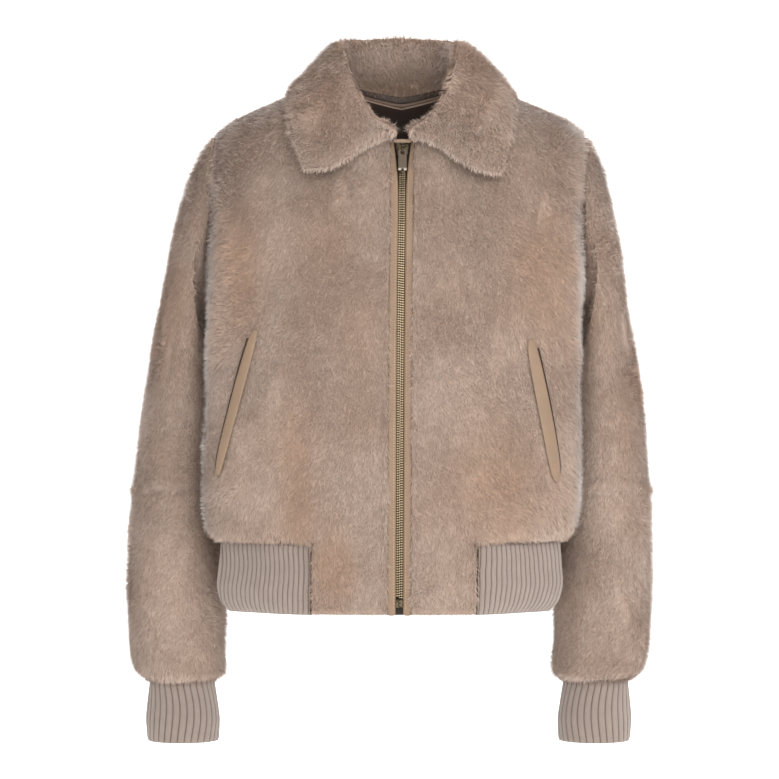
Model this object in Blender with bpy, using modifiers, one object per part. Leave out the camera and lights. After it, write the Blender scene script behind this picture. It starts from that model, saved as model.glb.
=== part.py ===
"""Cropped shearling jacket, fur side out, filled out as if worn: the solids of every cut piece."""

import math

import bmesh
import bpy
import numpy as np
from mathutils import Matrix, Vector
from mathutils.bvhtree import BVHTree

# Sizes are in millimetres. X runs to the wearer's left, -Y to the front, Z up,
# and the origin is the middle of the neck base.
MM = 0.001
FUR_WALL = 10.0
SLEEVE_WALL = 9.0
RIB_WALL = 3.0
RIB_RISE = 1.0
SEAM_GAP = 0.3

HEM = -526.0
FUR_EDGE = -457.0
ARMPIT = -235.0
TONGUE = 83.0
PANEL_EDGE = 13.0
CUTS = {"tongue": 4, "front": 12, "neck_front": 6, "neck_back": 5, "back": 15, "yoke": 6}
HEM_RIBS = 136
CUFF_RIBS = 31


def table(names, *rows):
    """Columns by name, from rows of numbers in rising order of the first column."""
    return {name: np.array(values, float) for name, values in zip(names.split(), zip(*rows))}


# The body's sections: the widest half-width seen from the front, the share by which the side
# is pressed in where a sleeve hangs, and the reach to the front and to the back.
BODY = table(
    "height edge press front back",
    (-528, 192, 0.220, -127, 112),
    (-500, 195, 0.220, -129, 118),
    (-457, 199, 0.220, -132, 125),
    (-420, 200, 0.220, -134, 128),
    (-350, 200, 0.220, -135, 128),
    (-300, 198, 0.215, -134, 126),
    (-235, 199, 0.195, -131, 124),
    (-205, 200, 0.110, -127, 123),
    (-170, 200, 0.070, -122, 122),
    (-130, 199, 0.030, -114, 118),
)
# How square the sections are, and from where a side is pressed in, front to back.
SECTION = {"power": 0.8, "press_from": -75.0, "press_over": 88.0}
# Where the armhole cuts each section, front and back.
ARMHOLE = table(
    "height front back",
    (-235, 24, 24),
    (-205, -16, 58),
    (-170, -33, 68),
    (-130, -42, 70),
)
# How far inside the armhole's seam the point lies that its wall faces.
ARMHOLE_DEPTH = 22.0
# How far the fur turns in above the ribs.
TUCK = table(
    "height inset",
    (-457, 16),
    (-453, 9.5),
    (-445, 4),
    (-432, 0.8),
    (-415, 0),
)
SHOULDER = table(
    "x y z",
    (80, 8, 30),
    (108, 9, 18.5),
    (133, 10, 8.5),
    (153, 10, 0),
    (175, 10, -10.5),
    (197, 10, -26),
)
# The way the cloth climbs from the chest, and how it reaches the neckline and the shoulder seam.
YOKE = {
    "leave": np.array([0.0, 0.22, 1.0]),
    "rise": np.array([0.0, 0.42, 0.85]),
    "roll": np.array([0.02, 1.05, 0.10]),
}
NECK_FRONT = (PANEL_EDGE, -80.0, -41.0)
NECK_BACK = (0.0, 72.0, 10.0)
NECK_CENTRE = (0.0, 0.0, -60.0)
# How the rim turns from the neckline's way to the shoulder's over the first points of the seam.
NECK_TURN = (0.72, 0.45, 0.2)
# How far from the middle the rim stays level beside the zip.
NECK_LEVEL = 12.0
# The whole garment hangs a little to the wearer's right, and the zip leans with it.
SWAY = table(
    "height zip side",
    (-690, -1, -12),
    (-525, -1, -11),
    (-364, -0.5, -8),
    (-204, 0.5, -6),
    (-88, 2, -2.5),
    (-24, 2.5, 0),
    (90, 0, 0),
)
SWAY_WIDTH = 150.0
ROWS = (-528, -505, -481, -457, -453, -445, -430, -400, -365, -325, -280, -235, -205, -170, -130)
TONGUE_ROWS = 3

# A sleeve's level rings: centre and half-widths across and along the arm's depth.
SLEEVE = table(
    "height x y across depth",
    (-610, 221, 20, 37, 37),
    (-607, 222, 20, 48, 46),
    (-600, 223, 20, 52, 52),
    (-585, 225, 21, 54, 55),
    (-545, 227.5, 24, 55, 58),
    (-505, 228, 27, 55, 62),
    (-460, 227.5, 30, 54.3, 65),
    (-405, 226.3, 32, 52.6, 69),
    (-360, 225, 33, 49.5, 70),
    (-320, 223, 32, 47, 70),
    (-285, 221, 31, 43.5, 70),
)
SLEEVE_ROWS = {
    "cap": (0.0, 0.13, 0.3, 0.5, 0.74),
    "upper": (-285, -325, -365, -405),
    "lower": (-405, -440, -480, -520, -560, -588, -602, -610),
}
# The way the sleeve leaves the armhole (all round, at its front and back, at its top, and away
# from its middle), how soon it turns down at its top, and how it reaches the first level ring.
CAP = {
    "leave": np.array([0.25, 0, -0.75]),
    "aside": np.array([0.5, 0, 0.25]),
    "high": np.array([0.53, 0, 0]),
    "slack": 0.5,
    "away": np.array([0, 0.3, 0]),
    "arrive": np.array([0, 0, -1.0]),
    "spread": np.array([0.15, 0, 0]),
}
CUFF = table(
    "height x y across depth",
    (-673, 219, 19, 38, 35),
    (-650, 219.5, 19, 39.5, 37),
    (-610.5, 220.5, 20, 34.5, 34),
)
HEM_BAND = table(
    "height inset",
    (-530, 25),
    (-521, 16.5),
    (-503, 14.5),
    (-478, 20),
    (-457, 22.5),
)
# How much of the step between fur and ribs shows: little beside the zip, all of it at the sides.
BLOUSING = {"from": 84.0, "over": 80.0, "front": 0.42, "back": 0.6}

# Soft creases: the side they lie on, where, how they slant, their half-length and half-width,
# and how deep they go.
CREASES = (
    {"side": -1, "x": -236, "z": -175, "slant": 75, "long": 70, "wide": 16, "deep": 3.0},
    {"side": -1, "x": 222, "z": -165, "slant": -62, "long": 62, "wide": 13, "deep": 3.5},
    {"side": -1, "x": 245, "z": -300, "slant": 80, "long": 75, "wide": 15, "deep": 2.5},
    {"side": -1, "x": 200, "z": -556, "slant": 24, "long": 38, "wide": 10, "deep": 4.0},
    {"side": -1, "x": 226, "z": -455, "slant": 52, "long": 52, "wide": 15, "deep": 3.0},
    {"side": -1, "x": -232, "z": -470, "slant": -48, "long": 55, "wide": 16, "deep": 2.5},
    {"side": -1, "x": -240, "z": -570, "slant": -15, "long": 45, "wide": 11, "deep": 3.0},
    {"side": -1, "x": 120, "z": -410, "slant": -35, "long": 45, "wide": 14, "deep": 3.0},
    {"side": -1, "x": -60, "z": -330, "slant": -60, "long": 75, "wide": 22, "deep": 2.5},
    {"side": -1, "x": -172, "z": -400, "slant": 35, "long": 22, "wide": 9, "deep": 3.0},
    {"side": -1, "x": 66, "z": -250, "slant": 65, "long": 80, "wide": 22, "deep": 2.0},
    {"side": 1, "x": 95, "z": -330, "slant": 70, "long": 90, "wide": 22, "deep": 3.5},
    {"side": 1, "x": -85, "z": -360, "slant": -72, "long": 95, "wide": 24, "deep": 3.5},
    {"side": 1, "x": 10, "z": -420, "slant": 85, "long": 60, "wide": 22, "deep": 3.0},
    {"side": 1, "x": 225, "z": -340, "slant": 35, "long": 50, "wide": 15, "deep": 4.0},
    {"side": 1, "x": -228, "z": -330, "slant": -38, "long": 50, "wide": 15, "deep": 4.0},
    {"side": 1, "x": 225, "z": -520, "slant": 20, "long": 48, "wide": 13, "deep": 3.5},
    {"side": 1, "x": -228, "z": -505, "slant": -24, "long": 50, "wide": 14, "deep": 3.5},
)
# The share of a crease that swells up beside it, and how fast it fades where the cloth turns away.
BANKS = 0.35
FACING = 1.6

# The collar by share of the way from the zip to the back: the fold, and the free edge of the
# leaf on the wearer's right and on the wearer's left.
COLLAR = table(
    "share fold_x fold_y fold_z right_x right_z left_x left_z edge_y",
    (0.00, 7.5, -86, -35, 9.5, -42, 9.5, -42, -90),
    (0.09, 15.5, -83, -28, 27, -46, 27, -46, -95),
    (0.18, 25.5, -77, -19, 49, -61, 47, -58, -100),
    (0.27, 34.5, -68, -6, 66, -73, 68, -72, -105),
    (0.32, 39.5, -61, 2.5, 83, -77, 83, -78, -103),
    (0.36, 44.0, -55, 10, 97, -78, 99, -82, -100),
    (0.39, 47.5, -50, 18.5, 103, -72, 109, -78, -96),
    (0.42, 51.0, -44, 27, 106, -61, 112, -69, -90),
    (0.48, 57.0, -28, 42, 114, -34, 117, -40, -70),
    (0.54, 61.5, -5, 56, 118, -4, 120, -3, -40),
    (0.62, 63.5, 22, 63, 114, 11, 116, 11, 10),
    (0.74, 56.0, 50, 68, 99, 5, 99, 5, 58),
    (0.87, 33.0, 70, 73, 57, -3, 57, -3, 92),
    (1.00, 0.0, 77, 76, 0, -6, 0, -6, 102),
)
FOLD_RADIUS = 2.5
STAND_BEND = 0.55
LEAF_STEPS = (0.3, 0.6, 0.88, 1.0)
LEAF_CLEAR = 4.2
# The collar's thickness from the neck seam over the fold to the leaf's free edge.
COLLAR_THICK = (FUR_WALL, 10, 11, 11, 11, 11, 11, 9, 5.0)

# Pocket welts, from the top down: the middle of the strip and its half-width.
WELT_RIGHT = table(
    "x z half",
    (-140.5, -238, 2.2),
    (-143.5, -247, 4.6),
    (-151, -275, 5.4),
    (-159, -305, 5.4),
    (-167, -335, 5.2),
    (-174.5, -366, 4.6),
    (-177.5, -380, 3.6),
    (-178.5, -388, 2.0),
)
WELT_LEFT = table(
    "x z half",
    (139, -248, 2.4),
    (141, -257, 5.6),
    (146.5, -283, 6.6),
    (152.5, -311, 6.8),
    (158.5, -340, 6.8),
    (164, -368, 6.4),
    (167, -385, 5.2),
    (168.5, -394, 2.6),
)
WELT_WALL = 2.0
WELT_LIFT = 0.9
WELT_EDGE = 0.55

# The zip, measured behind the fur's front at the middle.
ZIP = {"top": -61.5, "box": -513.0, "foot": -521.0, "half": 3.3, "front": 3.0, "back": 6.8}
ZIP_STEPS = (-52, -61, -75, -95, -130, -170, -235, -300, -365, -430, -480)
BOX_FRONT = 1.2
TAPE = {"top": -43.4, "foot": -529.0, "half": 12.6, "front": 7.1, "back": 8.3}
BINDING = {"top": -43.0, "foot": -529.5, "outer": 12.7, "front": 2.0, "back": 6.8}
# The bindings open out round the slider: height and how far the inner edge is from the middle.
FLARE = table(
    "height inner",
    (-530, 3.6),
    (-95, 3.6),
    (-77, 5.0),
    (-61, 6.6),
    (-52, 8.0),
    (-43, 9.2),
)
SLIDER = {"top": -44.6, "foot": -59.5, "half": 5.3, "shoulder": 1.36, "front": -1.2, "seat": 1.6}
SLIDER_EDGE = 0.8
# The part of the slider that reaches back between the tapes.
STEM = {"half": 3.9, "front": 1.0, "short": 0.5}
BRIDGE = {"radius": 3.2, "wire": 0.65, "proud": 1.0}
PULL = {"pivot": -54.6, "half": 4.2, "top": 0.6, "length": 23.5, "thick": 1.4}
# The pull's eye and the notch in its lower end.
EYE = {"half": 2.0, "foot": 5.6}
NOTCH = {"half": 1.3, "deep": 2.2}
CUTTER = 3.0
NECK_TAPE = {"half": 58.0, "shares": (0.14, 0.31), "lift": 0.8, "thick": 1.2}

COLLECTION = "Shearling jacket"


def smoothstep(t):
    t = np.clip(t, 0.0, 1.0)
    return t * t * (3.0 - 2.0 * t)


def along(columns, name, at):
    """A column of a table as a smooth curve through its rows."""
    keys = list(columns)
    xs, ys = columns[keys[0]], columns[name]
    slopes = np.gradient(ys, xs)
    at = np.clip(np.asarray(at, float), xs[0], xs[-1])
    i = np.clip(np.searchsorted(xs, at) - 1, 0, len(xs) - 2)
    step = xs[i + 1] - xs[i]
    t = (at - xs[i]) / step
    return (
        (1 + 2 * t) * (1 - t) ** 2 * ys[i]
        + t * (1 - t) ** 2 * step * slopes[i]
        + t * t * (3 - 2 * t) * ys[i + 1]
        + t * t * (t - 1) * step * slopes[i + 1]
    )


def unit(v):
    return v / np.maximum(np.linalg.norm(v, axis=-1, keepdims=True), 1e-9)


def hermite(start, end, leave, arrive, t):
    """Points from start to end that leave and arrive along two directions."""
    t = np.asarray(t, float).reshape((-1,) + (1,) * start.ndim)
    return (
        (1 + 2 * t) * (1 - t) ** 2 * start
        + t * (1 - t) ** 2 * leave
        + t * t * (3 - 2 * t) * end
        + t * t * (t - 1) * arrive
    )


def spaced(points, start, stop, count):
    """Evenly spaced points on a polyline between two distances along it."""
    steps = np.linalg.norm(np.diff(points, axis=0), axis=1)
    run = np.concatenate([[0], np.cumsum(steps)])
    at = np.linspace(start, stop, count + 1)
    return np.stack([np.interp(at, run, column) for column in points.T], axis=1)


def run_to(points, column, value):
    """Distance along a polyline to where a coordinate passes a value."""
    run = np.concatenate([[0], np.cumsum(np.linalg.norm(np.diff(points, axis=0), axis=1))])
    side = points[:, column] - value
    i = int(np.nonzero(side[:-1] * side[1:] <= 0)[0][0])
    return run[i] + (run[i + 1] - run[i]) * side[i] / (side[i] - side[i + 1])


def body_section(height):
    """Half of a level section of the body, from the front middle round to the back middle."""
    turn = np.radians(np.linspace(-90, 90, 361))
    power = SECTION["power"]
    x = np.abs(np.cos(turn)) ** power
    reach = np.where(turn < 0, -along(BODY, "front", height), along(BODY, "back", height))
    y = np.sign(turn) * np.abs(np.sin(turn)) ** power * reach
    pressed = smoothstep((y - SECTION["press_from"]) / SECTION["press_over"])
    x = x * (1 - along(BODY, "press", height) * pressed)
    x = x * along(BODY, "edge", height) / x.max()
    return np.stack([x, y, np.full_like(x, height)], axis=1)


def front_row(height):
    section = body_section(height)
    start = run_to(section, 0, PANEL_EDGE)
    tongue = run_to(section, 0, TONGUE)
    stop = run_to(section, 1, float(along(ARMHOLE, "front", height)))
    first = spaced(section, start, tongue, CUTS["tongue"])
    return np.concatenate([first, spaced(section, tongue, stop, CUTS["front"])[1:]])


def back_row(height):
    section = body_section(height)[::-1]
    stop = run_to(section, 1, float(along(ARMHOLE, "back", height)))
    return spaced(section, 0.0, stop, CUTS["back"])


def neck_curve(end, count):
    """The neckline from the shoulder seam's top to the front or back middle."""
    turn = np.linspace(0, math.pi / 2, count + 1)
    x = end[0] + (SHOULDER["x"][0] - end[0]) * np.cos(turn)
    y = SHOULDER["y"][0] + (end[1] - SHOULDER["y"][0]) * np.sin(turn)
    z = SHOULDER["z"][0] + (end[2] - SHOULDER["z"][0]) * (1 - np.cos(turn)) ** 0.8
    return np.stack([x, y, z], axis=1)[::-1]


def top_edge(end, neck_count):
    """The neckline and then the shoulder seam, as a panel's top row."""
    seam_x = np.linspace(SHOULDER["x"][0], SHOULDER["x"][-1], 11)[1:]
    seam = np.stack([seam_x, along(SHOULDER, "y", seam_x), along(SHOULDER, "z", seam_x)], axis=1)
    return np.concatenate([neck_curve(end, neck_count), seam])


def yoke(chest, top, neck_count, lean):
    """Rows from the chest up to the top edge, rolling back over the shoulder."""
    columns = len(chest)
    over = smoothstep((np.arange(columns) - neck_count + 2) / 4.0)
    climb = np.linalg.norm(top - chest, axis=1)[:, None]
    forward = np.array([1.0, -lean, 1.0])
    leave, rise, roll = (YOKE[name] * forward * climb for name in ("leave", "rise", "roll"))
    arrive = rise * (1 - over[:, None]) + roll * over[:, None]
    shares = np.linspace(0, 1, CUTS["yoke"] + 1)[1:]
    return hermite(chest, top, leave, arrive, shares)


def blousing(points):
    """How much of the step between fur and ribs a point takes: less at the front and back middle."""
    wide = smoothstep((np.abs(points[..., 0]) - BLOUSING["from"]) / BLOUSING["over"])
    middle = np.where(points[..., 1] < 0, BLOUSING["front"], BLOUSING["back"])
    return middle * (1 - wide) + wide


def panel_grid(side):
    """Outer points of a half front (side -1) or a half back (side 1) on the wearer's left."""
    heights = ROWS if side < 0 else ROWS[TONGUE_ROWS:]
    rows = [front_row(h) if side < 0 else back_row(h) for h in heights]
    chest = rows[-1]
    if side < 0:
        top = top_edge(NECK_FRONT, CUTS["neck_front"])
        upper = yoke(chest, top, CUTS["neck_front"], -1)
    else:
        top = top_edge(NECK_BACK, CUTS["neck_back"])
        upper = yoke(chest, top, CUTS["neck_back"], 1)
    grid = np.concatenate([np.array(rows), upper])
    for r in range(len(heights)):
        height = grid[r, 0, 2]
        inset = float(along(TUCK, "inset", height))
        if height > TUCK["height"][-1] or height < FUR_EDGE:
            continue
        slope = np.gradient(grid[r], axis=0)
        outward = unit(np.stack([slope[:, 1], -slope[:, 0], 0 * slope[:, 0]], axis=1)) * -side
        outward[-1] = (1.0, 0.0, 0.0)
        share = blousing(grid[r])
        if side < 0:
            share[: CUTS["tongue"] + 1] = 0.0
        grid[r] -= outward * (inset * share)[:, None]
    return grid


def normals_of(grid, wrap=False):
    """Outward normals of a grid whose rows climb and whose columns run round the body."""
    if wrap:
        wide = np.concatenate([grid[:, -1:], grid, grid[:, :1]], axis=1)
        across = (wide[:, 2:] - wide[:, :-2]) / 2
    else:
        across = np.gradient(grid, axis=1)
    up = np.gradient(grid, axis=0)
    return unit(np.cross(across, up))


def crease(grid, normals):
    """Presses the soft creases into a grid."""
    for fold in CREASES:
        dx, dz = grid[..., 0] - fold["x"], grid[..., 2] - fold["z"]
        c, s = math.cos(math.radians(fold["slant"])), math.sin(math.radians(fold["slant"]))
        run = (dx * c + dz * s) / fold["long"]
        over = (-dx * s + dz * c) / fold["wide"]
        facing = smoothstep(normals[..., 1] * fold["side"] * FACING)
        trough = np.exp(-(over**2)) - BANKS * np.exp(-((over / 2) ** 2))
        sink = fold["deep"] * np.exp(-(run**2)) * trough
        grid = grid - normals * (sink * facing)[..., None]
    return grid


def sway(points):
    """Leans the garment a little to the wearer's right, less beside the zip."""
    points = np.array(points, float)
    share = smoothstep(np.abs(points[..., 0]) / SWAY_WIDTH)
    zip_lean = along(SWAY, "zip", points[..., 2])
    side_lean = along(SWAY, "side", points[..., 2])
    points[..., 0] += zip_lean * (1 - share) + side_lean * share
    return points


def pull_back(outer, inner, take, step, gap=SEAM_GAP):
    """Moves an edge of a wall off its seam, square to the seam's own face."""
    edge, back = outer[take], inner[take]
    wrapped = np.allclose(edge[0], edge[-1])
    along_edge = np.gradient(edge, axis=0)
    if wrapped:
        along_edge[0] = along_edge[-1] = (edge[1] - edge[-2]) / 2
    aside = unit(np.cross(along_edge, back - edge))
    inward = (outer[step] - edge) + (inner[step] - back)
    aside *= np.sign((aside * inward).sum(-1, keepdims=True))
    outer[take] = edge + aside * gap
    inner[take] = back + aside * gap


def wall(name, outer, inner, material, keep=None, wrap=False):
    """A closed solid from a wall's outer and inner points, kept where a mask says."""
    rows, columns = outer.shape[:2]
    quads = []
    for r in range(rows - 1):
        for c in range(columns if wrap else columns - 1):
            if keep is not None and not keep(r, c):
                continue
            d = (c + 1) % columns
            quads.append((r * columns + c, r * columns + d, (r + 1) * columns + d, (r + 1) * columns + c))
    shift = rows * columns
    faces = list(quads)
    edges = {}
    for quad in quads:
        faces.append(tuple(v + shift for v in reversed(quad)))
        for a, b in zip(quad, quad[1:] + quad[:1]):
            edges[(a, b)] = (b, a) not in edges
            if not edges[(a, b)]:
                edges[(b, a)] = False
    for (a, b), free in edges.items():
        if free and (b, a) not in edges:
            faces.append((b, a, a + shift, b + shift))
    points = np.concatenate([outer.reshape(-1, 3), inner.reshape(-1, 3)])
    return mesh_object(name, sway(points), faces, material)


def mesh_object(name, points, faces, material):
    mesh = bpy.data.meshes.new(name)
    mesh.from_pydata([tuple(p) for p in np.asarray(points) * MM], [], faces)
    work = bmesh.new()
    work.from_mesh(mesh)
    loose = [v for v in work.verts if not v.link_faces]
    bmesh.ops.delete(work, geom=loose, context="VERTS")
    bmesh.ops.recalc_face_normals(work, faces=work.faces[:])
    work.to_mesh(mesh)
    work.free()
    mesh.materials.append(material)
    obj = bpy.data.objects.new(name, mesh)
    bpy.data.collections[COLLECTION].objects.link(obj)
    return obj


def principled(name, colour, roughness, metallic=0.0):
    material = bpy.data.materials.new(name)
    material.use_nodes = True
    shader = material.node_tree.nodes["Principled BSDF"]
    shader.inputs["Base Color"].default_value = (*colour, 1.0)
    shader.inputs["Roughness"].default_value = roughness
    shader.inputs["Metallic"].default_value = metallic
    material.diffuse_color = (*colour, 1.0)
    return material


def mirrored(grid, side):
    return grid * np.array([side, 1.0, 1.0])


def armhole_loop(front, back):
    """The armhole from the armpit up the front edge, over the shoulder and down the back."""
    first = ROWS.index(ARMPIT)
    up = front[first:, -1]
    down = back[first - TONGUE_ROWS + 1 : -1, -1][::-1]
    return np.concatenate([up, down])


def neck_inward(points):
    """The way a wall's face runs at the neckline, level with the middle beside the zip."""
    inward = np.asarray(NECK_CENTRE) - points
    inward[..., 0] *= smoothstep((np.abs(points[..., 0]) - PANEL_EDGE) / NECK_LEVEL)
    return unit(inward)


def rim_inward(points, centre):
    return unit(np.asarray(centre, float) - points)


def body_walls():
    """Outer and inner points of the wearer's left front and back, with shared seam directions."""
    front, back = panel_grid(-1), panel_grid(1)
    normal_front = normals_of(front)
    normal_back = -normals_of(back)
    first = ROWS.index(ARMPIT)
    side = unit(normal_front[TONGUE_ROWS:first, -1] + normal_back[: first - TONGUE_ROWS, -1])
    normal_front[TONGUE_ROWS:first, -1] = side
    normal_back[: first - TONGUE_ROWS, -1] = side
    normal_back[:, 0, 0] = 0.0
    normal_back = unit(normal_back)
    seam = unit(normal_front[-1, CUTS["neck_front"] :] + normal_back[-1, CUTS["neck_back"] :])
    normal_front[-1, CUTS["neck_front"] :] = seam
    normal_back[-1, CUTS["neck_back"] :] = seam
    return front, back, normal_front, normal_back


def armhole_centre(front):
    tip = front[-1, -1]
    pit = front[ROWS.index(ARMPIT), -1]
    middle = (tip + pit) / 2
    return np.array([middle[0] - ARMHOLE_DEPTH, pit[1], middle[2]])


def finish_walls(grid, normals, neck_count, centre, offset):
    """Inner points of a body panel: square to the cloth, and into the opening at open edges."""
    inward = -normals
    low = ROWS.index(ARMPIT) - offset
    inward[:, 0, 0] = 0.0
    inward[:, 0] = unit(inward[:, 0])
    inward[low:, -1] = rim_inward(grid[low:, -1], centre)
    inward[-1, : neck_count + 1] = neck_inward(grid[-1, : neck_count + 1])
    for step, share in enumerate(NECK_TURN, 1):
        turned = inward[-1, neck_count] * share + inward[-1, neck_count + step] * (1 - share)
        inward[-1, neck_count + step] = unit(turned)
    base = TONGUE_ROWS - offset
    level = inward[base].copy()
    level[:, 2] = 0
    start = CUTS["tongue"] + 1 if offset == 0 else 0
    inward[base, start:] = unit(level[start:])
    return grid + inward * FUR_WALL


def front_kept(r, c):
    return r >= TONGUE_ROWS or c < CUTS["tongue"]


def build_body(fur):
    front, back, normal_front, normal_back = body_walls()
    centre = armhole_centre(front)
    loop = armhole_loop(front, back)
    middle = {}
    for side, label in ((1, "left"), (-1, "right")):
        turn = np.array([side, 1.0, 1.0])
        outer = crease(front * turn, normal_front * turn) * turn
        inner = finish_walls(outer, normal_front.copy(), CUTS["neck_front"], centre, 0)
        outer, inner = outer.copy(), inner.copy()
        edge = slice(TONGUE_ROWS, ROWS.index(ARMPIT) + 1)
        pull_back(outer, inner, (edge, -1), (edge, -2))
        seam = slice(CUTS["neck_front"], None)
        pull_back(outer, inner, (-1, seam), (-2, seam))
        wall(f"front_{label}", outer * turn, inner * turn, fur, front_kept)
        middle[label] = outer * turn
        outer = crease(back * turn, normal_back * turn) * turn
        inner = finish_walls(outer, normal_back.copy(), CUTS["neck_back"], centre, TONGUE_ROWS)
        outer, inner = outer.copy(), inner.copy()
        pull_back(outer, inner, (slice(None), 0), (slice(None), 1))
        wall(f"back_{label}", outer * turn, inner * turn, fur)
        middle[f"back_{label}"] = outer * turn
    return loop, centre, middle


def ring(columns, height, count):
    """A level ring of a sleeve, from its inner point round the front, outside and back."""
    turn = np.linspace(0, 2 * math.pi, count, endpoint=False)
    x = along(columns, "x", height) - along(columns, "across", height) * np.cos(turn)
    y = along(columns, "y", height) - along(columns, "depth", height) * np.sin(turn)
    return np.stack([x, y, np.full(count, float(height))], axis=1)


def build_sleeves(loop, centre, fur):
    count = len(loop)
    first = ring(SLEEVE, SLEEVE_ROWS["upper"][0], count)
    away = unit(loop - centre)
    reach = np.linalg.norm(first - loop, axis=1, keepdims=True)
    high = smoothstep((loop[:, 2:] - ARMPIT) / (loop[:, 2].max() - ARMPIT))
    aside = np.abs(away[:, 1:2])
    leave = CAP["leave"] + aside * CAP["aside"] + high * CAP["high"] + away * CAP["away"]
    leave = unit(leave) * (1 - CAP["slack"] * high)
    arrive = unit(CAP["arrive"] + high * CAP["spread"])
    cap = hermite(loop, first, leave * reach, arrive * reach, SLEEVE_ROWS["cap"])
    upper = np.concatenate([cap, [ring(SLEEVE, h, count) for h in SLEEVE_ROWS["upper"]]])
    lower = np.array([ring(SLEEVE, h, count) for h in SLEEVE_ROWS["lower"]])
    whole = np.concatenate([upper, lower[1:]])
    normals = normals_of(whole, wrap=True)
    if normals[len(upper), 0, 0] > 0:
        normals = -normals
    inward = -normals
    inward[0] = rim_inward(loop, centre)
    inward[-1, :, 2] = 0
    inward[-1] = unit(inward[-1])
    cut = len(upper)
    for side, label in ((1, "left"), (-1, "right")):
        turn = np.array([side, 1.0, 1.0])
        outer = crease(whole * turn, normals * turn) * turn
        outer[0] = loop
        inner = outer + inward * SLEEVE_WALL
        inner[0] = outer[0] + inward[0] * FUR_WALL
        top_outer, top_inner = outer[:cut].copy(), inner[:cut].copy()
        low_outer, low_inner = outer[cut - 1 :].copy(), inner[cut - 1 :].copy()
        close_back(top_outer, top_inner)
        low_outer[0, :, 2] -= SEAM_GAP
        low_inner[0, :, 2] -= SEAM_GAP
        wall(f"sleeve_upper_{label}", top_outer * turn, top_inner * turn, fur, wrap=True)
        wall(f"sleeve_lower_{label}", low_outer * turn, low_inner * turn, fur, wrap=True)


def close_back(outer, inner):
    """Draws a sleeve's first ring off the armhole, square to the seam's face."""
    around = (np.roll(outer[0], -1, axis=0) - np.roll(outer[0], 1, axis=0)) / 2
    aside = unit(np.cross(around, inner[0] - outer[0]))
    inward = (outer[1] - outer[0]) + (inner[1] - inner[0])
    aside *= np.sign((aside * inward).sum(-1, keepdims=True))
    outer[0] += aside * SEAM_GAP
    inner[0] += aside * SEAM_GAP


def ribbed(outer, flat):
    """Raises every other point of a band's outer rows into a rib."""
    outer = outer.copy()
    outer[:, 1::2] += flat[:, 1::2] * RIB_RISE
    outer[:, 0::2] -= flat[:, 0::2] * RIB_RISE
    return outer


def build_cuffs(knit):
    count = 2 * CUFF_RIBS
    rows = np.array([ring(CUFF, h, count) for h in CUFF["height"]])
    flat = normals_of(rows, wrap=True)
    flat[..., 2] = 0
    flat = unit(flat)
    if flat[1, 0, 0] > 0:
        flat = -flat
    outer = ribbed(rows, flat)
    inner = rows - flat * (RIB_RISE + RIB_WALL)
    for side, label in ((1, "left"), (-1, "right")):
        turn = np.array([side, 1.0, 1.0])
        wall(f"cuff_{label}", outer * turn, inner * turn, knit, wrap=True)


def build_hem(knit):
    """The ribbed band from beside one front's fur, round the back, to the other."""
    heights = (*HEM_BAND["height"][:-1], FUR_EDGE - SEAM_GAP)
    rows = []
    for height in heights:
        section = body_section(height)
        slope = np.gradient(section, axis=0)
        outward = unit(np.stack([slope[:, 1], -slope[:, 0], 0 * slope[:, 0]], axis=1))
        section -= outward * (along(HEM_BAND, "inset", height) * blousing(section))[:, None]
        section[-1, 0] = 0.0
        start = run_to(section, 0, TONGUE + 2 * SEAM_GAP)
        length = np.linalg.norm(np.diff(section, axis=0), axis=1).sum()
        left = spaced(section, start, length, HEM_RIBS)
        right = left[::-1] * np.array([-1.0, 1, 1])
        rows.append(np.concatenate([left, right[1:]]))
    rows = np.array(rows)
    slope = np.gradient(rows, axis=1)
    flat = unit(np.stack([slope[..., 1], -slope[..., 0], 0 * slope[..., 0]], axis=-1))
    outer = ribbed(rows, flat)
    inner = rows - flat * (RIB_RISE + RIB_WALL)
    wall("hem_rib", outer, inner, knit)


def tree_of(grids):
    """The body's outer faces, for what lies on them."""
    points, faces = [], []
    for grid in grids:
        base = len(points)
        rows, columns = grid.shape[:2]
        points += [Vector(p) for p in grid.reshape(-1, 3)]
        for r in range(rows - 1):
            for c in range(columns - 1):
                a = base + r * columns + c
                faces.append((a, a + 1, a + columns + 1, a + columns))
    return BVHTree.FromPolygons(points, faces)


def lifted(point, tree, clear):
    """A point moved out of the body until it stands clear of it."""
    for _ in range(3):
        spot, normal, _, _ = tree.find_nearest(Vector(point))
        away = np.array(normal)
        centre = np.array([0.0, 10.0, min(point[2], NECK_CENTRE[2])])
        if away @ (np.array(spot) - centre) < 0:
            away = -away
        gap = (point - np.array(spot)) @ away
        if gap >= clear:
            break
        point = point + away * (clear - gap)
    return point


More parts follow.
